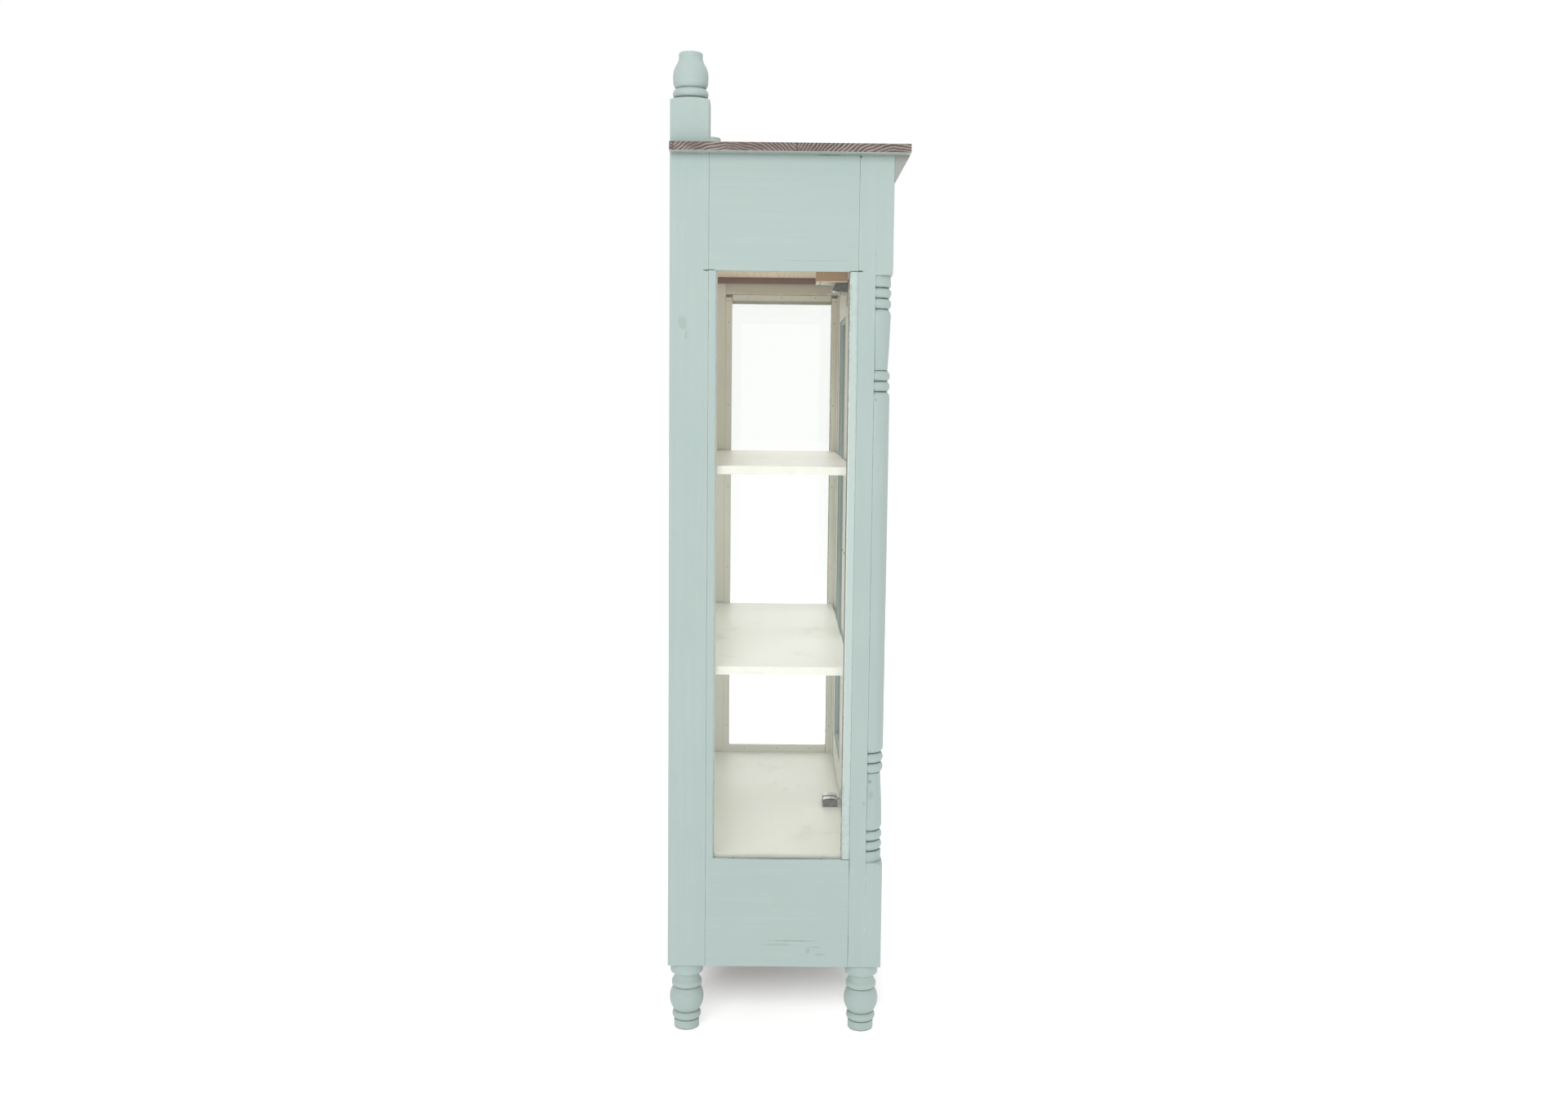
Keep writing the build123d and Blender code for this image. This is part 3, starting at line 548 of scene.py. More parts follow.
wander = maths(growth_rings, "MULTIPLY_ADD", waves, 0.014, -0.007)
ring_radius = maths(growth_rings, "ADD", radius, wander)
ring_count = maths(growth_rings, "DIVIDE", ring_radius, given["Spacing"])
phase = maths(growth_rings, "FRACT", ring_count)
rise = ramp(growth_rings, phase, 0.35, 0.80)
late_wood = maths(growth_rings, "MULTIPLY", rise, ramp(growth_rings, phase, 1.0, 0.88))
to_joint = maths(growth_rings, "PINGPONG", across, 0.5)
feed(growth_rings, result["Late Wood"], late_wood)
feed(growth_rings, result["Board Tone"], board_tone)
feed(growth_rings, result["Joint"], ramp(growth_rings, to_joint, 0.012, 0.004))


def sawn_across(tree, place, shift, top_z, sizes):
    """Growth rings in boards that run along X. shift sets where the joints fall in Y."""
    level = node(tree, "ShaderNodeMapping", {"Vector": place, "Location": (0.0, shift, -top_z)})
    return use(tree, growth_rings, {"Along": level.outputs[0], **sizes})


def bare_wood(name, light, dark, top_z, painted_z=None):
    """Bare softwood, its boards running across the case, and cream below painted_z if given."""
    material, tree, shader, place = new_finish(name)
    rings = sawn_across(tree, place, 0.03, top_z, {"Board": 0.11, "Spacing": 0.006})
    colour = wash(tree, light, rings["Late Wood"], 0.35, dark)
    fibres = grain(tree, place, (14.0, 500.0, 500.0), 2.0)
    colour = wash(tree, colour, ramp(tree, fibres, 0.5, 0.7), 0.3, dark)
    stains = ramp(tree, cloud(tree, place, 9.0, 4.0), 0.5, 0.7)
    colour = wash(tree, colour, stains, 0.25, dark)
    dirt_and_shade = use(tree, corner_dirt_and_shade, {"Place": place, "Reach": 0.02})["Dirt"]
    colour = wash(tree, colour, dirt_and_shade, 0.6, shade(70, 52, 38))
    if painted_z is not None:
        painted = maths(tree, "LESS_THAN", axes(tree, place)["Z"], painted_z)
        colour = blend(tree, painted, colour, shade(244, 240, 228))
    lay_on(tree, shader, colour, 0.72, fibres, 0.0003, 0.5)
    return material


# The ceiling is coloured far paler than its wood, as painted light, and the cleats darker, partly
# as painted shade.
ceiling_wood = bare_wood("ceiling_wood", shade(250, 232, 206), shade(226, 202, 172), ceiling_z)
cleat_wood = bare_wood("cleat_wood", shade(146, 96, 70), shade(108, 68, 50), ceiling_z)
base_wood = bare_wood("base_wood", shade(128, 124, 117), shade(96, 91, 84), case_bottom_z)
finish(ceiling_wood, "ceiling_board")
finish(cleat_wood, "ceiling_cleats")
finish(base_wood, "base_board")
block_low, block_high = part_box("catch_block")
paint_edge_z = block_low.z + 0.0012
block_wood = bare_wood(
    "block_wood", shade(206, 170, 132), shade(172, 132, 98), ceiling_z, paint_edge_z
)
finish(block_wood, "catch_block")

# ---- Back ------------------------------------------------------------
# Eight tongued boards, cream on the side that shows and left bare behind, nailed through into
# the base, the shelves' line and the ceiling.
board_total = 8
board_width = (back_high.x - back_low.x) / board_total
bare_depth = 0.002


def together(tree, **parts):
    """A vector from its X, Y and Z, as values or sockets."""
    return node(tree, "ShaderNodeCombineXYZ", parts).outputs[0]


def back_boards(name):
    """Cream inside, bare and dusty behind."""
    material, tree, shader, place = new_finish(name)
    brushed = use(tree, brush_marks, {"Strokes": stretched(tree, place, cream_strokes)})
    streaks = ramp(tree, brushed["Tone"], 0.4, 0.66)
    cream = blend(tree, streaks, shade(243, 242, 230), shade(249, 249, 241))
    parts = axes(tree, place)
    from_left = maths(tree, "SUBTRACT", parts["X"], back_low.x)
    from_rear = maths(tree, "SUBTRACT", back_high.y, parts["Y"])
    upright = together(tree, X=parts["Z"], Y=from_left, Z=from_rear)
    rings = use(tree, growth_rings, {"Along": upright, "Board": board_width, "Spacing": 0.0085})
    pine = blend(tree, rings["Board Tone"], shade(176, 152, 118), shade(196, 172, 138))
    pine = wash(tree, pine, rings["Late Wood"], 0.55, shade(146, 114, 80))
    fibres = grain(tree, place, (420.0, 420.0, 9.0), 2.0)
    pine = wash(tree, pine, ramp(tree, fibres, 0.5, 0.7), 0.35, shade(128, 98, 70))
    behind = maths(tree, "GREATER_THAN", parts["Y"], back_high.y - bare_depth)
    colour = blend(tree, behind, cream, pine)
    dirt_and_shade = use(tree, corner_dirt_and_shade, {"Place": place, "Reach": 0.02})["Dirt"]
    colour = wash(tree, colour, dirt_and_shade, 0.35, shade(150, 140, 116))
    gloss = maths(tree, "MULTIPLY_ADD", behind, 0.3, 0.45)
    height = maths(tree, "ADD", brushed["Height"], maths(tree, "MULTIPLY", fibres, behind))
    lay_on(tree, shader, colour, gloss, height, 0.0002, 0.5)
    return material


finish(back_boards("back_boards"), "back_panel")

# ---- Head and foot of the front --------------------------------------
# The frieze, the header behind it, the apron under the floor, the arched gallery board and the
# sloping crown are painted boards as long as the case is wide. The crown's ends are sawn square
# and left thinly painted, and their grey is darkened further as painted shade.
across_strokes = (3.2, 110.0, 110.0)
across_paint = brushed_paint("across_paint", across_strokes, wear=0.45)
finish(across_paint, "frieze_board", "door_header_rail", "front_bottom_rail", "gallery_board")
crown_low, crown_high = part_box("crown_moulding")
crown_end = (crown_low.x, crown_low.y + 0.014, crown_high.z - 0.02)
thin_paint_and_shade = (crown_end, (0.003, 0.045, 0.06), shade(154, 157, 151), 0.9)
crown_paint = brushed_paint("crown_paint", across_strokes, wear=0.5, marks=[thin_paint_and_shade])
finish(crown_paint, "crown_moulding")

# ---- Top board -------------------------------------------------------
# A wide top glued up from ash boards, stained brown and limed: white paste stays in the open
# grain. The boards run across the case, so their growth rings arch over the two sawn ends.


def limed_ash(name, top_z, painted_z):
    """Brown stain with lime in the grain, waxed to a low sheen, and paint below painted_z."""
    material, tree, shader, place = new_finish(name)
    ring_sizes = {"Board": 0.23, "Spacing": 0.0056, "Heart Depth": 0.088}
    rings = sawn_across(tree, place, 0.012, top_z, ring_sizes)
    stain = blend(tree, rings["Board Tone"], shade(74, 63, 60), shade(98, 82, 80))
    smoky = ramp(tree, grain(tree, place, (6.0, 22.0, 60.0), 3.0, 0.6), 0.4, 0.62)
    stain = wash(tree, stain, smoky, 0.5, shade(116, 104, 98))
    fibres = grain(tree, place, (10.0, 420.0, 420.0), 3.0, 0.6)
    stain = wash(tree, stain, ramp(tree, fibres, 0.45, 0.7), 0.4, shade(64, 54, 51))
    pores = ramp(tree, grain(tree, place, (22.0, 900.0, 900.0), 2.0, 0.6), 0.52, 0.66)
    pore_lines = maths(tree, "MULTIPLY_ADD", pores, 0.45, 0.55)
    lime = maths(tree, "MULTIPLY", rings["Late Wood"], pore_lines)
    rubbed = ramp(tree, grain(tree, place, (5.0, 16.0, 40.0), 3.0, 0.6), 0.36, 0.6)
    lime = maths(tree, "MULTIPLY", lime, maths(tree, "MULTIPLY_ADD", rubbed, 0.6, 0.4))
    colour = wash(tree, stain, lime, 0.88, shade(200, 190, 180))
    colour = wash(tree, colour, rings["Joint"], 0.5, shade(60, 48, 46))
    worn = use(tree, edge_wear, {"Place": place, "Extent": 0.45})["Wear"]
    colour = wash(tree, colour, worn, 0.35, shade(178, 164, 156))
    painted = maths(tree, "LESS_THAN", axes(tree, place)["Z"], painted_z)
    colour = blend(tree, painted, colour, shade(164, 173, 167))
    gloss = maths(tree, "MULTIPLY_ADD", lime, 0.2, 0.42)
    height = maths(tree, "MULTIPLY_ADD", rings["Late Wood"], -0.5, fibres)
    lay_on(tree, shader, colour, gloss, height, 0.0003, 0.6)
    return material


top_low, top_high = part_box("top_board")
paint_edge_z = top_low.z + 0.0011
finish(limed_ash("limed_ash", top_high.z, paint_edge_z), "top_board")

# ---- Finials ---------------------------------------------------------
# Each finial is turned from one square softwood block, left square at its foot and painted like
# the legs. It is dowelled into a rear corner of the top, at one end of the gallery board.
finial_foot_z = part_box("left_finial")[0].z
finial_grooves = [turned_groove(finial_foot_z + rise, 0.7) for rise in (0.0857, 0.1052)]
finial_paint = brushed_paint(
    "finial_paint", (60.0, 60.0, 60.0), wear=0.5, grime_and_shade=0.9, reach=0.006, marks=finial_grooves
)
finish(finial_paint, "left_finial", "right_finial")

# ---- Doors -----------------------------------------------------------
# Stiles and rails are brushed along their own length, white on the side that faces the case.
# The beads behind their panes are a dark grey-green, partly their own paint and partly painted
# shade.
door_white = shade(236, 238, 232)
door_across_paint = brushed_paint(
    "door_across_paint", across_strokes, within=door_white, wear=0.48
)
door_upright_paint = brushed_paint(
    "door_upright_paint", upright_strokes, within=door_white, wear=0.48
)
# Dark grey-green: partly the beads' paint and partly painted shade behind the door glass.
grey_green_and_shade = shade(150, 163, 158)
door_bead_paint = brushed_paint(
    "door_bead_paint", cream_strokes, outside=grey_green_and_shade, within=grey_green_and_shade, wear=0.3, reach=0.004
)
finish(door_bead_paint, "left_door_beads", "right_door_beads")
for side in sides:
    finish(door_across_paint, f"{side}_door_top_rail", f"{side}_door_bottom_rail")
    finish(door_upright_paint, f"{side}_door_hinge_stile", f"{side}_door_meeting_stile")

# ---- Knobs and hinges ------------------------------------------------
# Turned brass knobs and pressed brass butt hinges, dulled and browned by handling. Three hinges
# a side lie between the post and the edge of the door, with their knuckles at the front.


def aged_metal(name, bright, dull, gloss, tarnish):
    """Metal with uneven tarnish: tarnish is the share of it that has gone dull."""
    material, tree, shader, place = new_finish(name)
    patches = cloud(tree, place, 130.0, 5.0, 0.65)
    dulled = ramp(tree, patches, 0.50 - tarnish * 0.3, 0.86 - tarnish * 0.2)
    dirt_and_shade = use(tree, corner_dirt_and_shade, {"Place": place, "Reach": 0.004})["Dirt"]
    worn = use(tree, edge_wear, {"Place": place, "Reach": 0.0008, "Extent": 0.6})["Wear"]
    colour = blend(tree, dulled, bright, dull)
    colour = wash(tree, colour, dirt_and_shade, 0.7, shade(52, 42, 32))
    colour = wash(tree, colour, worn, 0.6, bright)
    shader.inputs["Metallic"].default_value = 1.0
    uneven = maths(tree, "MULTIPLY_ADD", dulled, 0.22, gloss)
    lay_on(tree, shader, colour, uneven, cloud(tree, place, 900.0, 2.0), 0.00004, 0.5)
    return material


aged_brass = aged_metal("aged_brass", shade(188, 160, 112), shade(118, 98, 70), 0.30, 0.5)
for side in sides:
    finish(aged_brass, f"{side}_door_knob", f"{side}_hinge_pins")
    finish(aged_brass, f"{side}_post_hinge_leaves", f"{side}_door_hinge_leaves")

# ---- Screws of the hinges and knobs ----------------------------------
# Slotted countersunk screws, driven by hand, so that no two slots lie the same way. Three hold
# each leaf, and one holds each knob from the inside.


def fastener_tree(name, slotted):
    """A tree that sets one head on each point of a mesh, facing along the point's own arrow."""
    tree = bpy.data.node_groups.new(name, "GeometryNodeTree")
    tree.interface.new_socket("Points", in_out="INPUT", socket_type="NodeSocketGeometry")
    for label, start in (("Head Radius", 0.003), ("Head Height", 0.001), ("Slot Width", 0.0007)):
        size = tree.interface.new_socket(label, in_out="INPUT", socket_type="NodeSocketFloat")
        size.default_value = start
    tree.interface.new_socket("Metal", in_out="INPUT", socket_type="NodeSocketMaterial")
    tree.interface.new_socket("Heads", in_out="OUTPUT", socket_type="NodeSocketGeometry")
    given = tree.nodes.new("NodeGroupInput").outputs
    radius = given["Head Radius"]
    height = given["Head Height"]
    cone = {
        "Vertices": 20,
        "Radius Top": maths(tree, "MULTIPLY", radius, 0.72),
        "Radius Bottom": radius,
        "Depth": height,
    }
    head = node(tree, "GeometryNodeMeshCone", cone).outputs["Mesh"]
    if slotted:
        slot_length = maths(tree, "MULTIPLY", radius, 2.4)
        slot_size = together(tree, X=slot_length, Y=given["Slot Width"], Z=height)
        cutter = node(tree, "GeometryNodeMeshCube", {"Size": slot_size}).outputs["Mesh"]
        lifted = {"Geometry": cutter, "Translation": together(tree, Z=height)}
        raised = node(tree, "GeometryNodeTransform", lifted).outputs[0]
        cut = node(
            tree, "GeometryNodeMeshBoolean", {"Mesh 1": head, "Mesh 2": raised},
            operation="DIFFERENCE", solver="EXACT",
        )
        head = cut.outputs["Mesh"]
    facing = node(
        tree, "GeometryNodeInputNamedAttribute", {"Name": "facing"}, data_type="FLOAT_VECTOR"
    ).outputs[0]
    aim = node(tree, "FunctionNodeAlignRotationToVector", {"Vector": facing}, axis="Z").outputs[0]
    copies = {"Points": given["Points"], "Instance": head, "Rotation": aim}
    heads = node(tree, "GeometryNodeInstanceOnPoints", copies).outputs[0]
    spin = node(tree, "FunctionNodeRandomValue", {2: 0.0, 3: math.pi, "Seed": 11}).outputs[1]
    turns = {"Instances": heads, "Rotation": together(tree, Z=spin)}
    turned = node(tree, "GeometryNodeRotateInstances", turns).outputs[0]
    solid = node(tree, "GeometryNodeRealizeInstances", {"Geometry": turned}).outputs[0]
    coated = {"Geometry": solid, "Material": given["Metal"]}
    end = tree.nodes.new("NodeGroupOutput").inputs[0]
    feed(tree, end, node(tree, "GeometryNodeSetMaterial", coated).outputs[0])
    return tree


def set_fasteners(name, kind, body, places):
    """Plain mesh of heads at (point, direction) places, riding on a body.

    kind is (tree, head radius, head height, metal, slot); the slot is not used.
    """
    tree, radius, height, metal, slot = kind
    mesh = bpy.data.meshes.new(name + "_places")
    mesh.from_pydata([tuple(point) for point, _ in places], [], [])
    facing = mesh.attributes.new("facing", "FLOAT_VECTOR", "POINT")
    for number, (_, direction) in enumerate(places):
        facing.data[number].vector = direction
    holder = bpy.data.objects.new(name + "_places", mesh)
    scene.collection.objects.link(holder)
    modifier = holder.modifiers.new("heads", "NODES")
    modifier.node_group = tree
    chosen = {"Head Radius": radius, "Head Height": height, "Metal": metal}
    for item in tree.interface.items_tree:
        if item.in_out == "INPUT" and item.name in chosen:
            modifier[item.identifier] = chosen[item.name]
    ready = holder.evaluated_get(bpy.context.evaluated_depsgraph_get())
    plain = bpy.data.meshes.new_from_object(ready)
    bpy.data.objects.remove(holder)
    heads = bpy.data.objects.new(name, plain)
    scene.collection.objects.link(heads)
    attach(heads, body)


slotted_screws = fastener_tree("slotted_screws", True)
hinge_screw = (slotted_screws, 0.0031, 0.00018, aged_brass, "aged_brass")
knob_screw = (slotted_screws, 0.0036, 0.0014, aged_brass, "aged_brass")
hinge_length = 0.070
leaf_thickness = 0.0013
hinge_screw_rises = (0.012, 0.035, 0.058)
rearward = (0.0, 1.0, 0.0)
for side, outward in sides.items():
    post_low, post_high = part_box(f"{side}_front_post")
    door_low, door_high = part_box(f"{side}_door_hinge_stile")
    post_x = post_high.x if outward < 0 else post_low.x
    door_x = door_low.x if outward < 0 else door_high.x
    for body, fixed_to, face_x, facing_x in (
        ("cabinet", "post", post_x - outward * leaf_thickness, -outward),
        (f"{side}_door", "door", door_x + outward * leaf_thickness, outward),
    ):
        leaf_low, leaf_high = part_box(f"{side}_{fixed_to}_hinge_leaves")
        screw_y = (door_low.y + leaf_high.y) / 2
        first_z, last_z = leaf_low.z, leaf_high.z - hinge_length
        places = []
        for hinge_z in (first_z, (first_z + last_z) / 2, last_z):
            for rise in hinge_screw_rises:
                places.append(((face_x, screw_y, hinge_z + rise), (facing_x, 0.0, 0.0)))
        set_fasteners(f"{side}_{fixed_to}_hinge_screws", hinge_screw, body, places)
    knob_low, knob_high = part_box(f"{side}_door_knob")
    knob_middle = (knob_low + knob_high) / 2
    stile_back_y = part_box(f"{side}_door_meeting_stile")[1].y
    knob_screw_place = ((knob_middle.x, stile_back_y, knob_middle.z), rearward)
    set_fasteners(f"{side}_knob_screw", knob_screw, f"{side}_door", [knob_screw_place])

# ---- Catches ---------------------------------------------------------
# Dull steel catches, screwed on. The one under the block holds each door with a bent spring, and
# the one on the floor has two sprung jaws for a tongue on the left door.
dark_steel = aged_metal("dark_steel", shade(122, 122, 118), shade(84, 84, 80), 0.42, 0.6)
bright_steel = aged_metal("bright_steel", shade(206, 206, 202), shade(140, 140, 136), 0.30, 0.4)
finish(dark_steel, "top_catch", "floor_catch")


def bent_strip(name, line, thickness, low_x, high_x, body):
    """Strip of bright steel bent along a line of (y, z) points, as wide as the two X limits."""
    points = [Vector((0.0, y, z)) for y, z in line]
    normals = []
    for number in range(len(points)):
        before = points[max(number - 1, 0)]
        after = points[min(number + 1, len(points) - 1)]
        run = (after - before).normalized()
        normals.append(Vector((0.0, -run.z, run.y)) * thickness / 2)
    rims = [point + normal for point, normal in zip(points, normals)]
    rims += [point - normal for point, normal in zip(reversed(points), reversed(normals))]
    strip = bmesh.new()
    near = [strip.verts.new((low_x, rim.y, rim.z)) for rim in rims]
    far = [strip.verts.new((high_x, rim.y, rim.z)) for rim in rims]
    for number in range(len(rims)):
        following = (number + 1) % len(rims)
        strip.faces.new((near[number], near[following], far[following], far[number]))
    last = len(rims) - 1
    for row in (near, far):
        for number in range(len(points) - 1):
            back = last - number
            strip.faces.new((row[number], row[number + 1], row[back - 1], row[back]))
    bmesh.ops.recalc_face_normals(strip, faces=strip.faces)
    edges = [edge for edge in strip.edges if edge.calc_face_angle(0.0) > 1.2]
    bmesh.ops.bevel(strip, geom=edges, offset=thickness * 0.3, segments=2, affect="EDGES")
    mesh = bpy.data.meshes.new(name)
    strip.to_mesh(mesh)
    strip.free()
    mesh.materials.append(bright_steel)
    piece = bpy.data.objects.new(name, mesh)
    scene.collection.objects.link(piece)
    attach(piece, body)


def arc_line(start, end, sag, steps):
    """Points of a shallow arc in (y, z) from start to end, sagging by sag at its middle."""
    line = []
    for number in range(steps + 1):
        share = number / steps
        y = start[0] + (end[0] - start[0]) * share
        z = start[1] + (end[1] - start[1]) * share - sag * 4.0 * share * (1.0 - share)
        line.append((y, z))
    return line


def screw_pair(middle_x, aside, y, z, direction):
    """Places for two screws side by side, each the same way aside from the middle."""
    return [((middle_x - aside, y, z), direction), ((middle_x + aside, y, z), direction)]


spring_thickness = 0.0009
plate_thickness = 0.0012
strike_screw = (slotted_screws, 0.0024, 0.0009, bright_steel, "dark_metal")
screw_face_y = door_inside_y + plate_thickness
plate_middle_y = door_inside_y + plate_thickness / 2
catch_low, catch_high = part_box("top_catch")
lip_z = catch_low.z - 0.0062
spring_line = arc_line(
    (catch_low.y + 0.010, catch_low.z - 0.0006),
    (catch_high.y - 0.001, catch_low.z + 0.0010),
    0.0028,
    10,
)
spring_line += [
    (catch_high.y + 0.0008, catch_low.z + 0.0028),
    (catch_high.y + 0.0006, catch_low.z + 0.0052),
]
strike_line = [
    (plate_middle_y, catch_low.z - 0.032),
    (plate_middle_y, lip_z - 0.0022),
    (door_inside_y + 0.0016, lip_z - 0.0006),
    (door_inside_y + 0.0036, lip_z),
    (door_inside_y + 0.0110, lip_z),
]
for side, outward in sides.items():
    limits = sorted((outward * 0.006, outward * 0.025))
    bent_strip(f"{side}_catch_spring", spring_line, spring_thickness, *limits, "cabinet")
    bent_strip(f"{side}_upper_strike", strike_line, plate_thickness, *limits, f"{side}_door")
    places = screw_pair(sum(limits) / 2, 0.0052, screw_face_y, catch_low.z - 0.020, rearward)
    set_fasteners(f"{side}_upper_strike_screws", strike_screw, f"{side}_door", places)

jaws_low, jaws_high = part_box("floor_catch")
jaws_middle = (jaws_low.x + jaws_high.x) / 2
jaw_side = 0.001
jaw_inner = 0.0035 + jaw_side
jaw_line = arc_line(
    (jaws_low.y + 0.001, jaws_high.z + 0.0004),
    (jaws_high.y - 0.001, jaws_high.z + 0.0004),
    -0.0024,
    12,
)
for name, low_x, high_x in (
    ("near_jaw_spring", jaws_low.x + jaw_side, jaws_middle - jaw_inner),
    ("far_jaw_spring", jaws_middle + jaw_inner, jaws_high.x - jaw_side),
):
    bent_strip(name, jaw_line, spring_thickness, low_x, high_x, "cabinet")

plate_line = [(plate_middle_y, jaws_high.z - 0.009), (plate_middle_y, jaws_high.z + 0.020)]
tongue_z = jaws_high.z - 0.0045
tongue_line = [(door_inside_y + 0.0008, tongue_z), (door_inside_y + 0.030, tongue_z)]
for name, line, thickness, half_width in (
    ("floor_strike_plate", plate_line, plate_thickness, 0.011),
    ("floor_strike_tongue", tongue_line, 0.006, 0.0012),
):
    limits = (jaws_middle - half_width, jaws_middle + half_width)
    bent_strip(name, line, thickness, *limits, "left_door")
places = screw_pair(jaws_middle, 0.006, screw_face_y, jaws_high.z + 0.010, rearward)
set_fasteners("floor_strike_screws", strike_screw, "left_door", places)
block_screw = (slotted_screws, 0.0028, 0.0007, dark_steel, "dark_metal")
downward = (0.0, 0.0, -1.0)
places = screw_pair(0.0, 0.030, block_high.y - 0.009, block_low.z, downward)
set_fasteners("block_screws", block_screw, "cabinet", places)

# ---- Pins and nails --------------------------------------------------
# Small round heads: panel pins through the beads round each pane, and rusty wire nails through
# the back boards into the frame.
round_heads = fastener_tree("round_heads", False)
rusty_steel = aged_metal("rusty_steel", shade(112, 92, 78), shade(74, 56, 46), 0.55, 0.7)
panel_pin = (round_heads, 0.0010, 0.0005, rusty_steel, "dark_metal")
wire_nail = (round_heads, 0.0022, 0.0008, rusty_steel, "dark_metal")
side_inset = 0.008
door_inset = 0.004


def six_heights(low_z, high_z, margin):
    """Six even heights, the first and the last a margin in from the ends."""
    return [low_z + margin + number * (high_z - low_z - 2 * margin) / 5 for number in range(6)]


for side, outward in sides.items():
    bead_low, bead_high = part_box(f"{side}_side_beads")
    bead_face = bead_high.x if outward < 0 else bead_low.x
    seen_from = (-outward, 0.0, 0.0)
    pins = []
    for pin_z in six_heights(bead_low.z, bead_high.z, 0.07):
        for pin_y in (bead_low.y + side_inset, bead_high.y - side_inset):
            pins.append(((bead_face, pin_y, pin_z), seen_from))
    for share in (0.2, 0.5, 0.8):
        pin_y = bead_low.y + share * (bead_high.y - bead_low.y)
        for pin_z in (bead_low.z + 0.010, bead_high.z - side_inset):
            pins.append(((bead_face, pin_y, pin_z), seen_from))
    set_fasteners(f"{side}_side_bead_pins", panel_pin, "cabinet", pins)
    ring_low, ring_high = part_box(f"{side}_door_beads")
    pins = []
    for pin_z in six_heights(ring_low.z, ring_high.z, 0.05):
        for pin_x in (ring_low.x + door_inset, ring_high.x - door_inset):
            pins.append(((pin_x, ring_high.y, pin_z), rearward))
    for share in (0.25, 0.75):
        pin_x = ring_low.x + share * (ring_high.x - ring_low.x)
        for pin_z in (ring_low.z + door_inset, ring_high.z - door_inset):
            pins.append(((pin_x, ring_high.y, pin_z), rearward))
    set_fasteners(f"{side}_door_bead_pins", panel_pin, f"{side}_door", pins)

below_top = 0.008
nail_aside = 0.034
nail_rows = (
    back_low.z + 0.008,
    floor_top_z - below_top,
    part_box("lower_shelf")[1].z - below_top,
    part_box("upper_shelf")[1].z - below_top,
    ceiling_z + 0.006,
    back_high.z - 0.018,
)
nails = []
for board in range(board_total):
    middle_x = back_low.x + (board + 0.5) * board_width
    for nail_z in nail_rows:
        for nail_x in (middle_x - nail_aside, middle_x + nail_aside):
            nails.append(((nail_x, back_high.y, nail_z), rearward))
set_fasteners("back_nails", wire_nail, "cabinet", nails)

# ---- Floor, lights and camera ----------------------------------------
# The case stands on a seamless white floor, seen square on to its left side from a little
# above the middle. Large soft lights stand round it, and a white sky fills in from everywhere.
camera_data = bpy.data.cameras.new("camera")
camera_data.lens = 33.75
camera_data.sensor_width = 36.0
camera = bpy.data.objects.new("camera", camera_data)
camera.location = (-3.2959, 0.0210, 1.2502)
camera.rotation_euler = (math.radians(84.029), math.radians(-0.625), math.radians(-90.294))
scene.collection.objects.link(camera)
scene.camera = camera
scene.view_settings.view_transform = "Standard"

sky_dimming = -0.48  # the sky lights the case this much less than it shows
world = bpy.data.worlds.new("studio")
world.use_nodes = True
sky_tree = world.node_tree
sky_ray = node(sky_tree, "ShaderNodeLightPath").outputs["Is Diffuse Ray"]
sky_strength = maths(sky_tree, "MULTIPLY_ADD", sky_ray, sky_dimming, 1.0)
background = sky_tree.nodes["Background"].inputs
feed(sky_tree, background["Strength"], sky_strength)
background["Color"].default_value = (1.0, 1.0, 1.0, 1.0)
scene.world = world


def soft_light(name, place, height_aimed_at, width, height, power):
    """A rectangular soft light at a place, turned towards a height in the middle of the case."""
    data = bpy.data.lights.new(name, "AREA")
    data.shape = "RECTANGLE"
    data.size = width
    data.size_y = height
    data.energy = power
    light = bpy.data.objects.new(name, data)
    light.location = place
    aim = Vector((0.0, 0.0, height_aimed_at)) - Vector(place)
    light.rotation_euler = aim.to_track_quat("-Z", "Y").to_euler()
    light.visible_glossy = False
    scene.collection.objects.link(light)


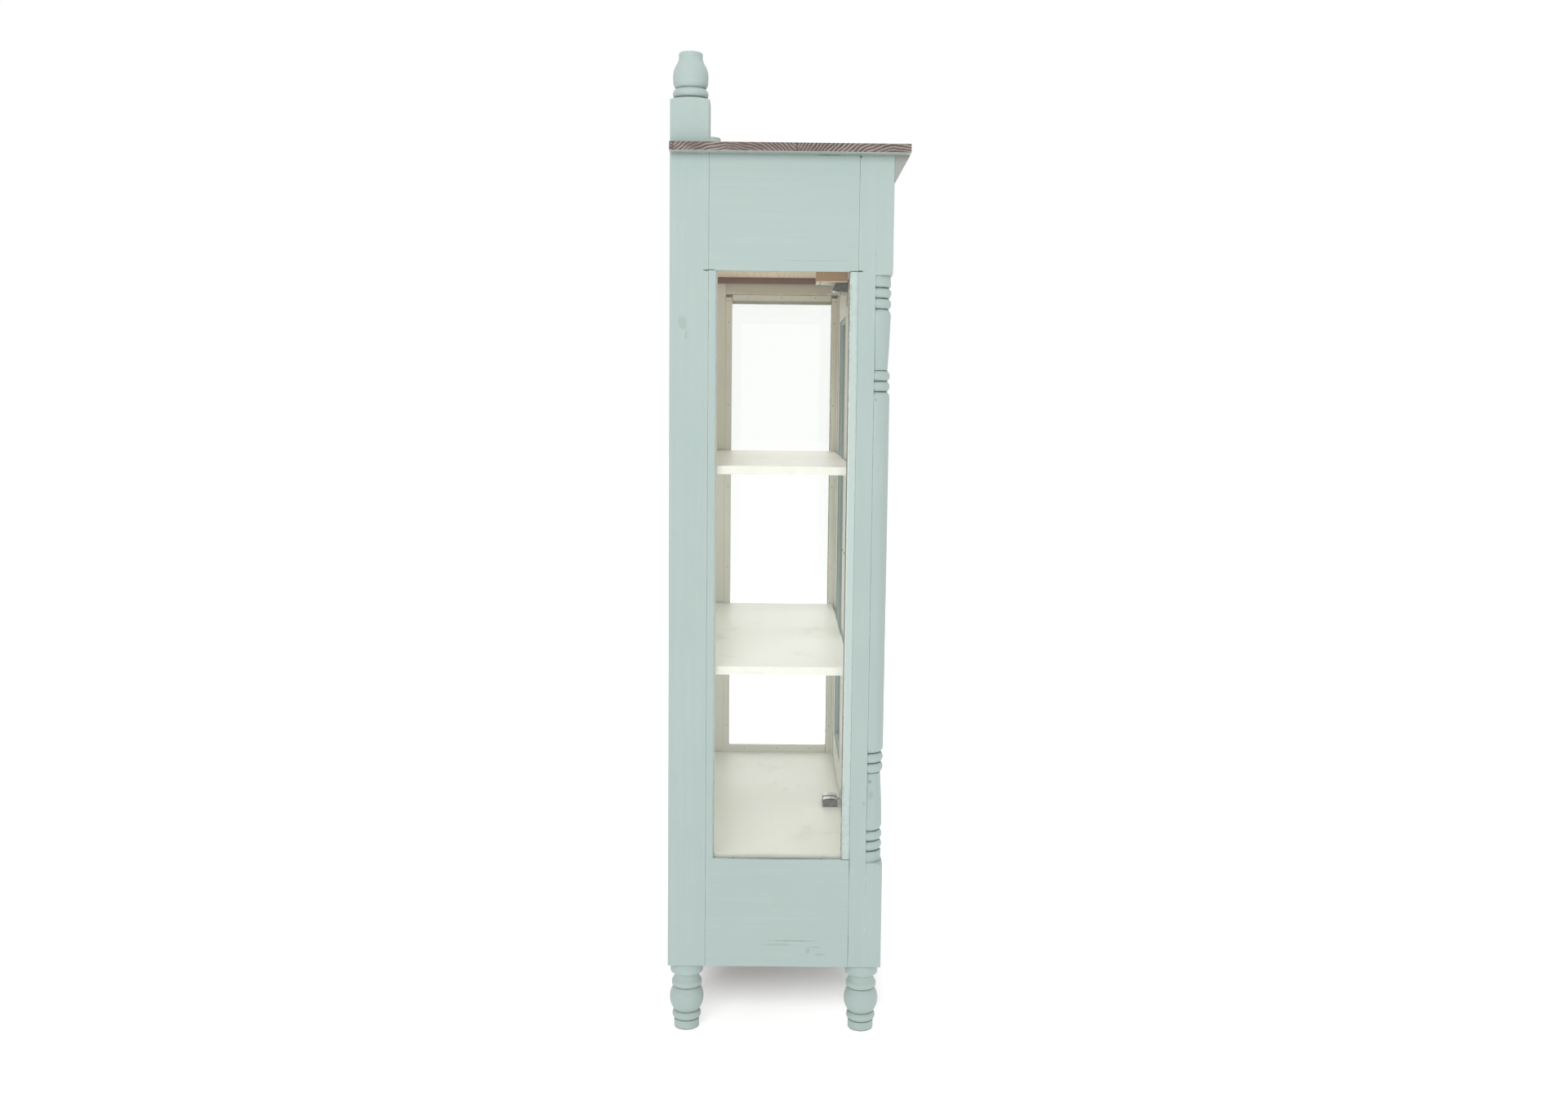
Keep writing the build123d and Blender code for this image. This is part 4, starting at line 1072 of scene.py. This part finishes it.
soft_light("camera_side", (-5.6, 1.1, 3.5), 0.95, 3.6, 3.0, 160.0)
soft_light("far_side", (4.6, 0.3, 3.8), 0.9, 3.2, 2.6, 54.0)
soft_light("front", (0.4, -4.8, 2.6), 0.9, 3.4, 2.6, 34.0)
soft_light("overhead", (-0.8, 0.2, 4.6), 0.9, 3.0, 3.0, 24.0)

floor_material, tree, shader, place = new_finish("white_floor")
floor_tone = cloud(tree, place, 40.0, 2.0)
floor_gloss = maths(tree, "MULTIPLY_ADD", floor_tone, 0.05, 0.85)
feed(tree, shader.inputs["Roughness"], floor_gloss)
shader.inputs["Base Color"].default_value = (0.94, 0.94, 0.94, 1.0)
shader.inputs["Emission Color"].default_value = (1.0, 1.0, 1.0, 1.0)
# The floor glows of itself, least near the case and most away from it: painted light that keeps the
# floor white round a painted shadow under the case. Less of the glow reaches the case.
floor_parts = axes(tree, place)
away_along = maths(tree, "ABSOLUTE", floor_parts["X"])
away_across = maths(tree, "MULTIPLY", maths(tree, "ABSOLUTE", floor_parts["Y"]), 1.5)
floor_away = maths(tree, "MAXIMUM", away_along, away_across)
floor_glow = node(
    tree,
    "ShaderNodeMapRange",
    {"Value": floor_away, "From Min": 0.14, "From Max": 0.40, "To Min": 0.11, "To Max": 0.5},
    interpolation_type="SMOOTHSTEP",
).outputs[0]
floor_ray = node(tree, "ShaderNodeLightPath").outputs["Is Diffuse Ray"]
glow_share = maths(tree, "MULTIPLY_ADD", floor_ray, -0.6, 1.0)
glow = maths(tree, "MULTIPLY", floor_glow, glow_share)
feed(tree, shader.inputs["Emission Strength"], glow)
floor_reach = 30.0
corner_signs = ((-1.0, -1.0), (1.0, -1.0), (1.0, 1.0), (-1.0, 1.0))
floor_corners = [(x * floor_reach, y * floor_reach, 0.0) for x, y in corner_signs]
floor_mesh = bpy.data.meshes.new("floor")
floor_mesh.from_pydata(floor_corners, [], [(0, 1, 2, 3)])
floor_mesh.materials.append(floor_material)
floor = bpy.data.objects.new("floor", floor_mesh)
scene.collection.objects.link(floor)
